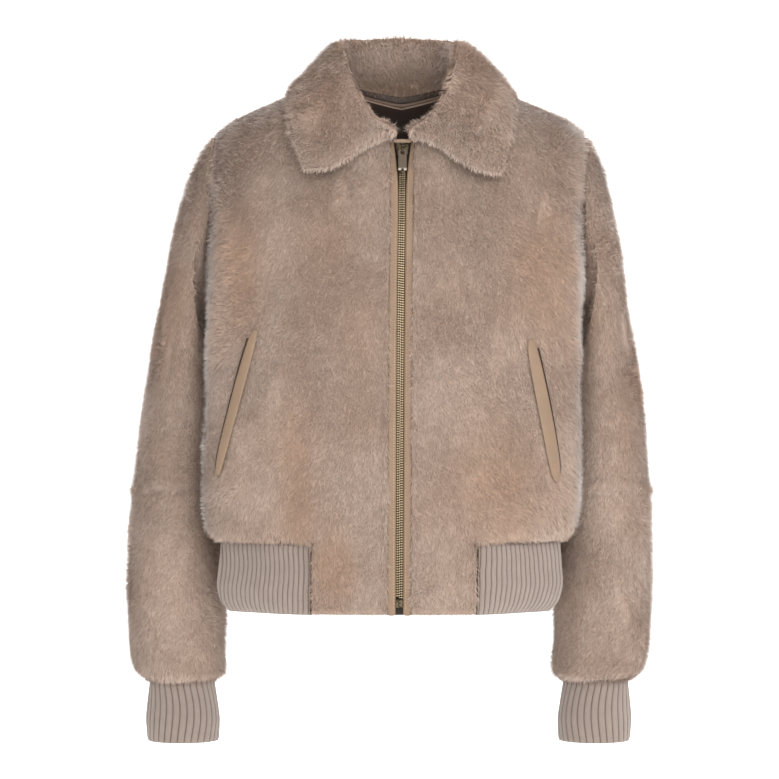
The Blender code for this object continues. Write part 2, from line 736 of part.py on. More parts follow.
def collar_half(tree, side):
    """Points of half the collar's hidden face, from the zip to the back middle."""
    front = neck_curve(NECK_FRONT, CUTS["neck_front"])
    back = neck_curve(NECK_BACK, CUTS["neck_back"])[::-1]
    neck = np.concatenate([front, back[1:]])
    dense = np.empty((2 * len(neck) - 1, 3))
    dense[0::2] = neck
    dense[1::2] = (neck[1:] + neck[:-1]) / 2
    steps = np.linalg.norm(np.diff(dense, axis=0), axis=1)
    share = np.concatenate([[0], np.cumsum(steps)]) / steps.sum()
    label = "left" if side > 0 else "right"
    fold = np.stack([along(COLLAR, f"fold_{a}", share) for a in "xyz"], axis=1)
    free = (f"{label}_x", "edge_y", f"{label}_z")
    edge = np.stack([along(COLLAR, column, share) for column in free], axis=1)
    hidden = []
    for n, f, e in zip(dense, fold, edge):
        up = unit(f - n)
        out = unit((e - f) - up * ((e - f) @ up))
        heart = f - up * FOLD_RADIUS + out * FOLD_RADIUS
        bend = [heart + way * FOLD_RADIUS for way in (-out, up, out)]
        path = [n, n + STAND_BEND * (f - n), *bend]
        for t in LEAF_STEPS:
            path.append(lifted(bend[-1] + (e - bend[-1]) * t, tree, LEAF_CLEAR))
        hidden.append(path)
    return np.array(hidden)


def build_collar(middle, fur, leather):
    halves = []
    for side, label in ((1, "left"), (-1, "right")):
        own = tree_of([mirrored(middle[label], side), mirrored(middle[f"back_{label}"], side)])
        halves.append(mirrored(collar_half(own, side), side))
    left, right = halves
    hidden = np.concatenate([left, right[::-1][1:]])
    normals = normals_of(hidden)
    if normals[len(normals) // 2, 1, 1] > 0:
        normals = -normals
    normals[:, 0] = neck_inward(hidden[:, 0])
    furred = hidden + normals * np.array(COLLAR_THICK)[None, :, None]
    outer, inner = furred.copy(), hidden.copy()
    pull_back(outer, inner, (slice(None), 0), (slice(None), 1), 2 * SEAM_GAP)
    wall("collar", outer, inner, fur)
    build_neck_tape(furred, normals, leather)


def front_line(middle):
    """The front's depth beside the zip, by height."""
    line = middle["left"][:, 0]
    order = np.argsort(line[:, 2])
    return line[order, 2], line[order, 1]


def strip(name, heights, left, right, front, back, line, material):
    """An upright strip that follows the front, between two widths and two depths."""
    heights = np.asarray(heights, float)
    depth = np.interp(heights, *line)
    left = np.broadcast_to(np.asarray(left, float), heights.shape)
    right = np.broadcast_to(np.asarray(right, float), heights.shape)
    outer = np.stack([np.stack([x, depth + front, heights], axis=1) for x in (left, right)], axis=1)
    inner = outer + np.array([0.0, back - front, 0.0])
    return wall(name, outer, inner, material)


def zip_heights(top, foot):
    return [top, *(h for h in ZIP_STEPS if foot < h < top), foot]


def build_zip(middle, leather, cloth, metal):
    line = front_line(middle)
    tall = zip_heights(TAPE["top"], TAPE["foot"])
    strip("zip_tape", tall, -TAPE["half"], TAPE["half"], TAPE["front"], TAPE["back"], line, cloth)
    links = zip_heights(ZIP["top"], ZIP["box"] + SEAM_GAP)
    strip("zip_chain", links, -ZIP["half"], ZIP["half"], ZIP["front"], ZIP["back"], line, metal)
    tall = zip_heights(BINDING["top"], BINDING["foot"])
    for side, label in ((1, "left"), (-1, "right")):
        near = side * np.interp(tall, FLARE["height"], FLARE["inner"])
        far = side * BINDING["outer"]
        strip(f"binding_{label}", tall, near, far, BINDING["front"], BINDING["back"], line, leather)
    ends = (ZIP["box"], ZIP["foot"])
    strip("zip_box", ends, -ZIP["half"], ZIP["half"], BOX_FRONT, ZIP["back"], line, metal)
    build_slider(line, metal)


def block(name, low, high):
    """A bevelled box between two corners, in millimetres."""
    low, high = np.array(low, float), np.array(high, float)
    bpy.ops.mesh.primitive_cube_add(size=1.0, location=tuple((low + high) / 2 * MM))
    obj = bpy.context.object
    obj.name = name
    obj.data.transform([
        [(high[0] - low[0]) * MM, 0, 0, 0],
        [0, (high[1] - low[1]) * MM, 0, 0],
        [0, 0, (high[2] - low[2]) * MM, 0],
        [0, 0, 0, 1],
    ])
    for collection in list(obj.users_collection):
        collection.objects.unlink(obj)
    bpy.data.collections[COLLECTION].objects.link(obj)
    return obj


def helper(obj):
    """Marks an object as a cutter or a joined shape that isn't a piece."""
    obj.hide_render = True
    obj.display_type = "WIRE"
    for collection in list(obj.users_collection):
        collection.objects.unlink(obj)
    bpy.data.collections["Helpers"].objects.link(obj)
    return obj


def boolean(obj, other, operation):
    modifier = obj.modifiers.new(operation.title(), "BOOLEAN")
    modifier.operation = operation
    modifier.solver = "EXACT"
    modifier.object = helper(other)


def bevel(obj, width):
    modifier = obj.modifiers.new("Bevel", "BEVEL")
    modifier.width = width * MM
    modifier.segments = 2
    modifier.limit_method = "ANGLE"


def build_slider(line, metal):
    """The slider and its pull, built upright and then leant back along the zip."""
    pivot = PULL["pivot"]
    spot = (float(along(SWAY, "zip", pivot)), float(np.interp(pivot, *line)), pivot)
    low, high = (float(np.interp(h, *line)) for h in (SLIDER["foot"], SLIDER["top"]))
    lean = math.atan2(high - low, SLIDER["top"] - SLIDER["foot"])
    place = Matrix.Translation(Vector(spot) * MM) @ Matrix.Rotation(-lean, 4, "X")
    hinge = SLIDER["front"] - BRIDGE["proud"]
    parts = slider_body(hinge, metal) + pull_tab(hinge, metal)
    bpy.context.view_layer.update()
    for obj in parts:
        obj.matrix_world = place @ obj.matrix_world


def slider_body(hinge, metal):
    """The slider with its stem and the ring that carries the pull."""
    top, foot = SLIDER["top"] - PULL["pivot"], SLIDER["foot"] - PULL["pivot"]
    half, short = SLIDER["half"], STEM["short"]
    slider = block("zip_slider", (-half, SLIDER["front"], foot), (half, SLIDER["seat"], top))
    for vertex in slider.data.vertices:
        if vertex.co.z > 0:
            vertex.co.x *= SLIDER["shoulder"]
    bevel(slider, SLIDER_EDGE)
    back = ZIP["back"] - short
    near, far = (-STEM["half"], STEM["front"], foot + short), (STEM["half"], back, top - short)
    stem = block("slider_stem", near, far)
    boolean(slider, stem, "UNION")
    bpy.ops.mesh.primitive_torus_add(
        major_radius=BRIDGE["radius"] * MM,
        minor_radius=BRIDGE["wire"] * MM,
        major_segments=24,
        minor_segments=8,
        location=(0, hinge * MM, 0),
        rotation=(0, math.pi / 2, 0),
    )
    arch = bpy.context.object
    arch.name = "slider_arch"
    boolean(slider, arch, "UNION")
    slider.data.materials.append(metal)
    return [slider, stem, arch]


def pull_tab(hinge, metal):
    """The pull with its eye and notch, hung on the slider's ring."""
    thick, wide, top, foot = PULL["thick"] / 2, PULL["half"], PULL["top"], -PULL["length"]
    near, far = hinge - CUTTER, hinge + CUTTER
    pull = block("zip_pull", (-wide, hinge - thick, foot), (wide, hinge + thick, top))
    eye = block("pull_eye", (-EYE["half"], near, -EYE["foot"]), (EYE["half"], far, -top))
    boolean(pull, eye, "DIFFERENCE")
    low, high = (-NOTCH["half"], near, foot - CUTTER), (NOTCH["half"], far, foot + NOTCH["deep"])
    notch = block("pull_notch", low, high)
    boolean(pull, notch, "DIFFERENCE")
    pull.data.materials.append(metal)
    move_origin(pull, (0, hinge, 0))
    return [pull, eye, notch]


def move_origin(obj, spot):
    """Sets an object's origin on its hinge without moving its shape."""
    spot = Vector(spot) * MM
    shift = obj.location - spot
    for vertex in obj.data.vertices:
        vertex.co += shift
    obj.location = spot


def build_welts(middle, leather):
    for side, label, rows in ((-1, "right", WELT_RIGHT), (1, "left", WELT_LEFT)):
        tree = tree_of([middle[label]])
        outer, inner = [], []
        for x, z, half in zip(rows["x"], rows["z"], rows["half"]):
            low, high = [], []
            for share in (-1, -0.5, 0, 0.5, 1):
                origin = Vector((x + share * half, -400, z))
                spot, normal, _, _ = tree.ray_cast(origin, Vector((0, 1, 0)))
                away = np.array(normal)
                away = away if away[1] < 0 else -away
                base = np.array(spot) + away * WELT_LIFT
                low.append(base)
                high.append(base + away * WELT_WALL * (WELT_EDGE if abs(share) == 1 else 1.0))
            inner.append(low)
            outer.append(high)
        wall(f"welt_{label}", np.array(outer), np.array(inner), leather)


def build_neck_tape(furred, normals, leather):
    """The leather strip inside the back neck, just above the seam."""
    near = np.nonzero((np.abs(furred[:, 0, 0]) < NECK_TAPE["half"]) & (furred[:, 0, 1] > 0))[0]
    rows = []
    for share in NECK_TAPE["shares"]:
        rows.append(furred[near, 0] * (1 - share) + furred[near, 1] * share)
    away = unit(normals[near, 0] * 0.3 + normals[near, 1] * 0.7)
    inner = np.array(rows) + away * NECK_TAPE["lift"]
    outer = inner + away * NECK_TAPE["thick"]
    wall("neck_tape", outer, inner, leather)


def main():
    for obj in list(bpy.data.objects):
        bpy.data.objects.remove(obj)
    for name in (COLLECTION, "Helpers"):
        bpy.context.scene.collection.children.link(bpy.data.collections.new(name))
    bpy.data.collections["Helpers"].hide_render = True
    fur = principled("Shearling", (0.39, 0.28, 0.22), 0.95)
    knit = principled("Rib knit", (0.36, 0.29, 0.25), 0.9)
    leather = principled("Leather", (0.45, 0.31, 0.20), 0.55)
    cloth = principled("Zip tape", (0.10, 0.07, 0.05), 0.85)
    metal = principled("Aged brass", (0.35, 0.29, 0.20), 0.35, 1.0)
    loop, centre, middle = build_body(fur)
    build_sleeves(loop, centre, fur)
    build_cuffs(knit)
    build_hem(knit)
    build_collar(middle, fur, leather)
    build_zip(middle, leather, cloth, metal)
    build_welts(middle, leather)


main()
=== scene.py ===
"""The looks of a shearling jacket: fur pile, suede, rib knit, leather and a metal zip on its solids."""

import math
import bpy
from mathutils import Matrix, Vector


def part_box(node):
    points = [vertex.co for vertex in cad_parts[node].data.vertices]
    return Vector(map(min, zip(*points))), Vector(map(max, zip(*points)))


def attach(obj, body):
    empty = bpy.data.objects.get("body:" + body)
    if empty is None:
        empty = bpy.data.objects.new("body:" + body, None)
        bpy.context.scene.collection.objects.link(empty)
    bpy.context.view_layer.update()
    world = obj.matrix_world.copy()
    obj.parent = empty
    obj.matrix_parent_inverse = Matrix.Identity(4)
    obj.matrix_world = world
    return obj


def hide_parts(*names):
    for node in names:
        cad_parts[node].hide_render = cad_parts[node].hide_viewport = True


bl_info = {
    "name": "Shearling jacket",
    "version": (1, 0, 0),
    "blender": (4, 5, 0),
    "location": "3D View > Sidebar > Jacket",
    "description": "Dresses the jacket in fur pile, suede, rib knit, leather and a metal zip",
    "category": "Object",
}

from functools import cache

import bmesh
import bpy
import numpy as np
from mathutils import Matrix, Vector, noise
from mathutils.bvhtree import BVHTree

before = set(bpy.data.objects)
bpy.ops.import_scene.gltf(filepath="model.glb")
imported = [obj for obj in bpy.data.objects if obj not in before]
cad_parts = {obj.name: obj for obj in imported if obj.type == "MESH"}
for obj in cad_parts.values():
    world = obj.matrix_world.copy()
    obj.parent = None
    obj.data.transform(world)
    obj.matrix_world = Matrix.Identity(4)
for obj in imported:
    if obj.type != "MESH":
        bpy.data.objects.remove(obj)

MM = 0.001
MERGE = 0.01 * MM
BODY = "jacket"

FRONTS = ("front_right", "front_left")
BACKS = ("back_right", "back_left")
SLEEVES = ("sleeve_upper_right", "sleeve_upper_left", "sleeve_lower_right", "sleeve_lower_left")
BINDINGS = ("binding_right", "binding_left")
WELTS = ("welt_right", "welt_left")
# Each leather's name and its colour in the trim's settings.
TAN = ("Tan nappa leather", "leather")
# The neck tape's brown is partly painted shade.
BROWN = ("Brown nappa leather", "neck")

# How many locks of fur stand on each cut of shearling.
LOCKS = {"front": 90000, "back": 70000, "sleeve_upper": 62000, "sleeve_lower": 42000, "collar": 80000}

# The middle of the torso leans with height: height and sideways place, in millimetres.
LEAN = ((-690, -12), (-525, -11), (-364, -8), (-204, -6), (-88, -2.5), (-24, 0), (90, 0))
# The zip leans less than the sides do.
ZIP_LEAN = ((-690, -1), (-525, -1), (-364, -0.5), (-204, 0.5), (-88, 2), (-24, 2.5), (90, 0))
YOKE = -70 * MM

# Edges sharper than SHARP part a hide into its sides, and edges sharper than CREASED stay
# sharp when it is rounded off. A wall thicker than SHEET_WALL isn't cloth. Rays start off the face.
SHARP = math.radians(40)
CREASED = math.radians(50)
SHEET_WALL = 30 * MM
OFF_FACE = 1.0 * MM

# The neck's seam lies within NECK_REACH of the middle, and the back of it behind BEHIND. The
# pile keeps clear of the neck tape and of the back. The throat is the collar's opening in front.
NECK_REACH = 84 * MM
BEHIND = -10 * MM
THROAT = (26 * MM, -60 * MM)
TAPE_CLEAR = 6.5 * MM
BACK_CLEAR = 9 * MM

# How close the other layer lies where the pile is covered: the collar over the body, the body
# under the collar, and the collar's leaf over its own stand.
UNDER_COLLAR = 9 * MM
OVER_BODY = 5 * MM
UNDER_LEAF = 4 * MM

# The hide sinks under its pile, but stays up by this share at its cut edges.
RIM_RISE = 0.75
SEAM_CLOSE = 0.45 * MM
# Swellings of the hide: their size and their height.
SWELLS = ((32 * MM, 1.3), (13 * MM, 0.6))
WELT_SINK = 1.6 * MM

# The pile is shorn to this share at the hem, and longer by this share on the shoulder's tip.
HEM_CROP = 0.3
TIP_FULL = 0.5
# How far it splays off the shoulders, is brushed over the armhole's seam, and is pushed aside
# and thinned by a parting.
SPLAY = 0.35
OVER_SEAM = 1.1
PARTED_PUSH = 1.6
PARTED_BARE = 0.5
PARTED_TUCK = 2.5
# Painted sheen: how strongly each kind of cut has its colour mixed towards the pale sheen colour, full on
# the torso and faint on the sleeves and collar.
PAINTED_SHEEN = {"body": 1.0, "sleeve": 0.15, "collar": 0.15}

# Places that the sleeves' and the collar's way out is measured from, and where the arm's seam is.
NECK_MIDDLE = Vector((0, 0, -60)) * MM
ARM_MIDDLE = Vector((225, 30, 0)) * MM
ARM_TOP = Vector((188, 20, -140)) * MM
ARM_SEAM = Vector((135, 0, -270)) * MM
ARM_BEND = (-300 * MM, -140 * MM)

# Warmer, pinker places where the pile has been brushed open, on the front: the middle's
# x and z and the reach sideways and up, in millimetres, and how strong it is.
WARM = (
    (-163, -185, 22, 70, 0.9),
    (-105, -395, 20, 80, 0.8),
    (150, -180, 45, 95, 0.8),
    (90, -400, 60, 70, 0.7),
    (-66, -485, 22, 50, 0.9),
    (-75, -150, 30, 60, 0.5),
    (-40, -250, 26, 90, 0.45),
    (45, -170, 30, 80, 0.35),
    (-245, -190, 22, 60, 0.5),
    (240, -350, 25, 90, 0.4),
    (75, 15, 30, 40, 0.5),
    (-78, 0, 26, 45, 0.7),
)

# Places where the pile parts and shows its shadow: the middle's x, y side and z, the slant in
# degrees, and the half-length, in millimetres.
PARTINGS = (
    (50, -1, 20, 62, 12),
    (92, -1, -2, 70, 16),
    (-88, -1, -16, 58, 12),
    (150, -1, -110, 75, 20),
    (-60, -1, -95, 80, 18),
    (-128, -1, -300, 70, 22),
    (100, -1, -260, 85, 24),
    (-168, -1, -405, 55, 14),
    (-176, -1, -398, 110, 12),
    (70, -1, -390, 60, 18),
    (-248, -1, -260, 82, 26),
    (244, -1, -240, 100, 24),
    (-236, -1, -500, 70, 20),
    (238, -1, -520, 105, 20),
    (60, 1, -150, 80, 22),
    (-90, 1, -260, 100, 26),
    (40, 1, -360, 75, 22),
    (235, 1, -300, 80, 22),
    (-235, 1, -420, 100, 22),
)
PARTING_WIDTH = 7.0


def linear(text):
    """An sRGB hex colour as linear red, green, blue and alpha."""
    parts = [int(text[i : i + 2], 16) / 255 for i in (1, 3, 5)]
    return tuple(p / 12.92 if p <= 0.04045 else ((p + 0.055) / 1.055) ** 2.4 for p in parts) + (1.0,)


def colour_prop(name, description, default):
    return bpy.props.FloatVectorProperty(
        name=name, description=description, subtype="COLOR", size=4, min=0, max=1, default=linear(default)
    )


def length_prop(name, description, default):
    return bpy.props.FloatProperty(name=name, description=description, default=default, unit="LENGTH")


def share_prop(name, description, default, highest=3):
    return bpy.props.FloatProperty(name=name, description=description, default=default, min=0, max=highest)


class JacketFur(bpy.types.PropertyGroup):
    """How the pile stands, and its colours."""

    length: length_prop("Pile length", "Length of a lock of fur", 6.8 * MM)
    width: length_prop("Lock width", "Width of a lock at its root", 0.9 * MM)
    lift: share_prop("Lift", "How far the pile stands off the skin", 1.0)
    swirl: share_prop("Swirl", "How far the brushing wanders over the hide", 1.1)
    tangle: share_prop("Tangle", "How far each lock strays on its own", 0.65, 2)
    tuft: length_prop("Tuft size", "Across one tuft, drawn a little coarse so that it shows", 4.0 * MM)
    gather: share_prop("Gather", "How far the locks lean together into tufts", 1.0)
    depth: length_prop("Pile depth", "How deep the skin lies under the pile", 3.6 * MM)
    seed: bpy.props.IntProperty(name="Seed", description="Fixes how the locks are scattered", default=7)
    root: colour_prop("Root", "Colour of the fur near the skin", "#9F897A")
    tip: colour_prop("Tip", "Colour of the fur's tips", "#C2AFA2")
    warm: colour_prop("Warm tip", "Colour of the tips where the pile is brushed open", "#C0A18B")
    # Painted sheen: the pale colour that the pile's base colour is mixed towards where the eye grazes it.
    sheen: colour_prop("Sheen", "Colour of the pile where the eye grazes it", "#CFC9C6")
    # Painted shade: the darker brown that the pile's colour is mixed towards deep inside the neck.
    deep: colour_prop("Deep", "Colour of the pile deep inside the neck", "#7D6350")
    # Partly the hide's own brown and partly painted shade: set near black as the jacket's inside lies in
    # shadow.
    suede: colour_prop("Suede", "Colour of the hide's flesh side", "#2C1A10")


class JacketKnit(bpy.types.PropertyGroup):
    """The rib knit's colours and stitches."""

    rib: colour_prop("Rib", "Colour of the knit on top of a rib", "#93847A")
    # Painted shade: the knit's colour darkened in the grooves between the ribs.
    groove_shade: colour_prop("Groove", "Colour of the knit between ribs", "#4A3320")
    course: length_prop("Course height", "Height of one row of stitches", 2.0 * MM)


class JacketTrim(bpy.types.PropertyGroup):
    """The leather, the zip and the sewing."""

    leather: colour_prop("Leather", "Colour of the bindings and welts", "#876F59")
    # Partly the tape's own brown and partly painted shade: darkened as the inside of the neck lies in
    # shadow.
    neck: colour_prop("Neck tape", "Colour of the tape inside the neck", "#3A291D")
    thread: colour_prop("Thread", "Colour of the sewing thread", "#B99A78")
    brass: colour_prop("Brass", "Colour of the zip's teeth", "#AE9A7C")
    nickel: colour_prop("Pull metal", "Colour of the pull tab", "#857667")
    # Painted highlight: the near-white colour of the pull's lower end.
    painted_highlight: colour_prop("Rubbed metal", "Colour of the pull's lower end, rubbed bright", "#F2EADC")
    slider: colour_prop("Slider metal", "Colour of the slider's darkened brass", "#6B5E4C")
    tape: colour_prop("Zip tape", "Colour of the woven zip tape", "#271C15")
    tooth_pitch: length_prop("Tooth pitch", "From one tooth to the next on a side", 2.5 * MM)
    stitch_pitch: length_prop("Stitch pitch", "From one stitch to the next", 3.4 * MM)


class JacketStage(bpy.types.PropertyGroup):
    """The floor, the backdrop and the camera."""

    floor_height: length_prop("Floor height", "Height of the floor under the jacket", -0.76)
    paper: colour_prop("Paper", "Colour of the floor and backdrop", "#F6F6F6")
    distance: length_prop("Camera distance", "From the camera to the jacket's middle", 3.0)


def add(tree, kind, inputs=None, **settings):
    """A node of this kind with its settings; inputs maps sockets to values or to other nodes' outputs."""
    made = tree.nodes.new(kind)
    for name, value in settings.items():
        setattr(made, name, value)
    for name, value in (inputs or {}).items():
        socket = made.inputs[name]
        if isinstance(value, bpy.types.NodeSocket):
            tree.links.new(value, socket)
        else:
            socket.default_value = value
    return made


def maths(tree, operation, first, second):
    return add(tree, "ShaderNodeMath", {0: first, 1: second}, operation=operation).outputs[0]


def combined(tree, x, y, z):
    return add(tree, "ShaderNodeCombineXYZ", {"X": x, "Y": y, "Z": z}).outputs[0]


class Finish:
    """A new material, with short ways to the nodes that its look is made of."""

    def __init__(self, name, **shader):
        self.material = bpy.data.materials.new(name)
        self.material.use_nodes = True
        self.tree = self.material.node_tree
        self.shader = self.tree.nodes["Principled BSDF"]
        for key, value in shader.items():
            self.set(key.replace("_", " "), value)

    def set(self, key, value):
        """Gives one of the shader's inputs a value or a node's output."""
        if isinstance(value, bpy.types.NodeSocket):
            self.tree.links.new(value, self.shader.inputs[key])
        else:
            self.shader.inputs[key].default_value = value

    def place(self):
        return add(self.tree, "ShaderNodeTexCoord").outputs["Object"]

    def attribute(self, name, output="Fac"):
        return add(self.tree, "ShaderNodeAttribute", attribute_name=name).outputs[output]

    def noise(self, scale, detail):
        inputs = {"Vector": self.place(), "Scale": scale, "Detail": detail}
        return add(self.tree, "ShaderNodeTexNoise", inputs).outputs["Fac"]

    def cells(self, scale):
        inputs = {"Vector": self.place(), "Scale": scale}
        return add(self.tree, "ShaderNodeTexVoronoi", inputs).outputs["Distance"]

    def mapped(self, value, to_min=0.0, to_max=1.0, from_min=0.0, from_max=1.0, **settings):
        inputs = {"Value": value, "To Min": to_min, "To Max": to_max}
        inputs.update({"From Min": from_min, "From Max": from_max})
        return add(self.tree, "ShaderNodeMapRange", inputs, **settings).outputs[0]

    def mixed(self, share, first, second):
        """From the first colour to the second."""
        inputs = {"Factor": share, 6: first, 7: second}
        return add(self.tree, "ShaderNodeMix", inputs, data_type="RGBA").outputs[2]

    def shaded(self, colour, value):
        """The colour made darker or brighter by a value."""
        return add(self.tree, "ShaderNodeHueSaturation", {"Value": value, "Color": colour}).outputs[0]

    def bump(self, height, distance, strength):
        inputs = {"Height": height, "Distance": distance, "Strength": strength}
        self.set("Normal", add(self.tree, "ShaderNodeBump", inputs).outputs[0])


@cache
def shearling_fur():
    """Brushed sheep's wool: matt locks, their colour mixed towards a pale painted sheen where the eye
    grazes them and towards a darker painted shade deep inside the neck.
    """
    fur = bpy.context.scene.jacket_fur
    wool = Finish("Brushed shearling wool", Roughness=0.85, Specular_IOR_Level=0.25)
    warm = maths(wool.tree, "ADD", wool.attribute("warm"), wool.noise(14.0, 2.0))
    warm = wool.mapped(warm, from_min=0.42, from_max=1.25)
    tips = wool.mixed(warm, tuple(fur.tip), tuple(fur.warm))
    tips = wool.shaded(tips, wool.mapped(wool.attribute("strand"), 0.8, 1.16))
    colour = wool.mixed(wool.mapped(wool.attribute("tip"), from_max=0.6), tuple(fur.root), tips)
    # Painted sheen: where the eye grazes the hide's own normal, the colour is mixed towards the pale sheen
    # colour.
    skin = wool.attribute("skin", "Vector")
    grazed = add(wool.tree, "ShaderNodeLayerWeight", {"Normal": skin}).outputs["Facing"]
    pale = wool.mapped(grazed, 0.0, 0.9, 0.35, 0.85, interpolation_type="SMOOTHSTEP")
    pale = maths(wool.tree, "MULTIPLY", pale, wool.attribute("grazed"))
    colour = wool.mixed(pale, colour, tuple(fur.sheen))
    # Painted shade: deep inside the neck the colour is mixed towards the darker brown.
    wool.set("Base Color", wool.mixed(wool.attribute("deep"), colour, tuple(fur.deep)))
    wool.set("Sheen Weight", 0.35)
    wool.set("Sheen Roughness", 0.5)
    wool.set("Sheen Tint", linear("#E8DDD4"))
    return wool.material


@cache
def wool_base():
    """The dense underwool at the skin, which shows as shadow between the locks."""
    wool = Finish("Shearling underwool", Roughness=0.95, Specular_IOR_Level=0.2)
    wool.set("Base Color", tuple(bpy.context.scene.jacket_fur.root))
    wool.bump(wool.noise(400.0, 3.0), 0.8 * MM, 0.8)
    return wool.material


@cache
def suede():
    """The hide's napped flesh side: matt brown with a faint mottle, set very dark partly as the hide's own
    brown and partly as painted shade.
    """
    hide = Finish("Napped sheep suede", Roughness=0.92, Sheen_Weight=0.2)
    shade = hide.mapped(hide.noise(60.0, 5.0), 0.8, 1.15)
    hide.set("Base Color", hide.shaded(tuple(bpy.context.scene.jacket_fur.suede), shade))
    hide.bump(hide.noise(900.0, 2.0), 0.3 * MM, 0.5)
    return hide.material


@cache
def rib_knit():
    """Wool rib knit: pale rounded ribs, grooves darkened as painted shade, rows of stitches across them.
    """
    knit = bpy.context.scene.jacket_knit
    wool = Finish("Wool rib knit", Roughness=0.9, Sheen_Weight=0.3)
    # Painted shade: how high the knit stands sets how far the groove shade gives way to the rib's colour.
    colour = wool.mixed(wool.attribute("rib"), tuple(knit.groove_shade), tuple(knit.rib))
    wool.set("Base Color", wool.shaded(colour, wool.mapped(wool.noise(90.0, 4.0), 0.88, 1.1)))
    rows = add(
        wool.tree,
        "ShaderNodeTexWave",
        {"Vector": wool.place(), "Scale": 0.314 / knit.course, "Distortion": 2.0, "Detail Scale": 300.0},
        bands_direction="Z",
    ).outputs["Fac"]
    wool.bump(maths(wool.tree, "ADD", rows, wool.noise(1200.0, 2.0)), 0.5 * MM, 0.6)
    return wool.material


@cache
def nappa(name, colour):
    """Smooth nappa leather in one of the trim's colours: soft low gloss over a fine grain."""
    colour = tuple(getattr(bpy.context.scene.jacket_trim, colour))
    leather = Finish(name, Roughness=0.55, IOR=1.5)
    shade = leather.mapped(leather.noise(70.0, 4.0), 0.85, 1.12)
    leather.set("Base Color", leather.shaded(colour, shade))
    leather.bump(leather.cells(1100.0), 0.15 * MM, 0.4)
    return leather.material


@cache
def zip_cloth():
    """Dark woven polyester tape: a fine twill that hardly shines."""
    cloth = Finish("Woven zip tape", Roughness=0.8)
    cloth.set("Base Color", tuple(bpy.context.scene.jacket_trim.tape))
    inputs = {"Vector": cloth.place(), "Scale": 300.0}
    weave = add(cloth.tree, "ShaderNodeTexWave", inputs, bands_direction="DIAGONAL").outputs["Fac"]
    cloth.bump(weave, 0.2 * MM, 0.5)
    return cloth.material


def metal_finish(name, colour, roughness):
    """Cast zip metal: coloured reflections broken by handling marks."""
    metal = Finish(name, Metallic=1.0)
    metal.set("Base Color", tuple(colour))
    metal.set("Roughness", metal.mapped(metal.noise(500.0, 3.0), roughness - 0.08, roughness + 0.12))
    return metal


@cache
def pull_metal():
    """Brushed nickel, dull on its flat, with a painted highlight round the notch at its lower end."""
    trim = bpy.context.scene.jacket_trim
    metal = metal_finish("Brushed nickel", trim.nickel, 0.3)
    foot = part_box("zip_pull")[0].z
    height = add(metal.tree, "ShaderNodeSeparateXYZ", {0: metal.place()}).outputs[2]
    # Painted highlight: the colour turns near white over the lowest few millimetres of the pull.
    painted_highlight = metal.mapped(height, from_min=foot + 3.4 * MM, from_max=foot + 2.0 * MM)
    metal.set("Base Color", metal.mixed(painted_highlight, tuple(trim.nickel), tuple(trim.painted_highlight)))
    return metal.material


@cache
def slider_metal():
    """Darkened brass with a knurled face: small facets, brightened in their middles as painted glints and
    darkened towards their edges as painted shade.
    """
    colour = tuple(bpy.context.scene.jacket_trim.slider)
    metal = metal_finish("Darkened brass", colour, 0.4)
    facets = metal.cells(700.0)
    metal.bump(facets, 0.6 * MM, 1.0)
    # Painted glints and shade: the base colour runs from nearly twice as bright in each facet's middle to
    # about a third at its edge.
    metal.set("Base Color", metal.shaded(colour, metal.mapped(facets, 1.9, 0.35, 0.1, 0.6)))
    return metal.material


@cache
def thread():
    """Waxed sewing thread."""
    waxed = Finish("Polyester thread", Roughness=0.6)
    waxed.set("Base Color", tuple(bpy.context.scene.jacket_trim.thread))
    return waxed.material


def merged_copy(node):
    """A copy of a node's mesh with its doubles merged and its triangles joined in quads."""
    mesh = bmesh.new()
    mesh.from_mesh(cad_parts[node].data)
    bmesh.ops.remove_doubles(mesh, verts=mesh.verts, dist=MERGE)
    bmesh.ops.join_triangles(
        mesh,
        faces=mesh.faces,
        angle_face_threshold=math.radians(40),
        angle_shape_threshold=math.radians(70),
    )
    return mesh


def settle(piece):
    """Turns what the piece's modifiers show into its own plain mesh."""
    depsgraph = bpy.context.evaluated_depsgraph_get()
    shown = piece.evaluated_get(depsgraph)
    mesh = bpy.data.meshes.new_from_object(shown, preserve_all_data_layers=True, depsgraph=depsgraph)
    piece.modifiers.clear()
    piece.data = mesh
    mesh.name = piece.name
    return piece


def new_piece(name, mesh):
    piece = bpy.data.objects.new(name, mesh)
    bpy.context.scene.collection.objects.link(piece)
    return piece


def face_outwards(mesh):
    """Turns a closed mesh's faces to face outwards."""
    shape = bmesh.new()
    shape.from_mesh(mesh)
    bmesh.ops.recalc_face_normals(shape, faces=shape.faces)
    shape.to_mesh(mesh)
    shape.free()


def smoothed(name, node, crease):
    """The node's shape with its facets rounded off and its sharp edges kept."""
    shape = merged_copy(node)
    layer = shape.edges.layers.float.new("crease_edge")
    shape.normal_update()
    for edge in shape.edges:
        if len(edge.link_faces) == 2 and edge.calc_face_angle() > CREASED:
            edge[layer] = crease
    mesh = bpy.data.meshes.new(name)
    shape.to_mesh(mesh)
    shape.free()
    piece = new_piece(name, mesh)
    rounding = piece.modifiers.new("Rounding", "SUBSURF")
    rounding.levels = rounding.render_levels = 2
    settle(piece)
    piece.data.shade_smooth()
    return piece


def vectors(source, key, count):
    """A foreach_get collection as rows of three numbers."""
    flat = np.empty(count * 3, np.float32)
    source.foreach_get(key, flat)
    return flat.reshape(-1, 3).astype(float)


def unit_rows(rows):
    return rows / np.maximum(np.linalg.norm(rows, axis=1), 1e-9)[:, None]


def without_side(node):
    return node.removesuffix("_right").removesuffix("_left")


def ease(low, high, value):
    """From 0 to 1 with soft ends as the value goes from low to high."""
    share = np.clip((value - low) / (high - low), 0, 1)
    return share * share * (3 - 2 * share)


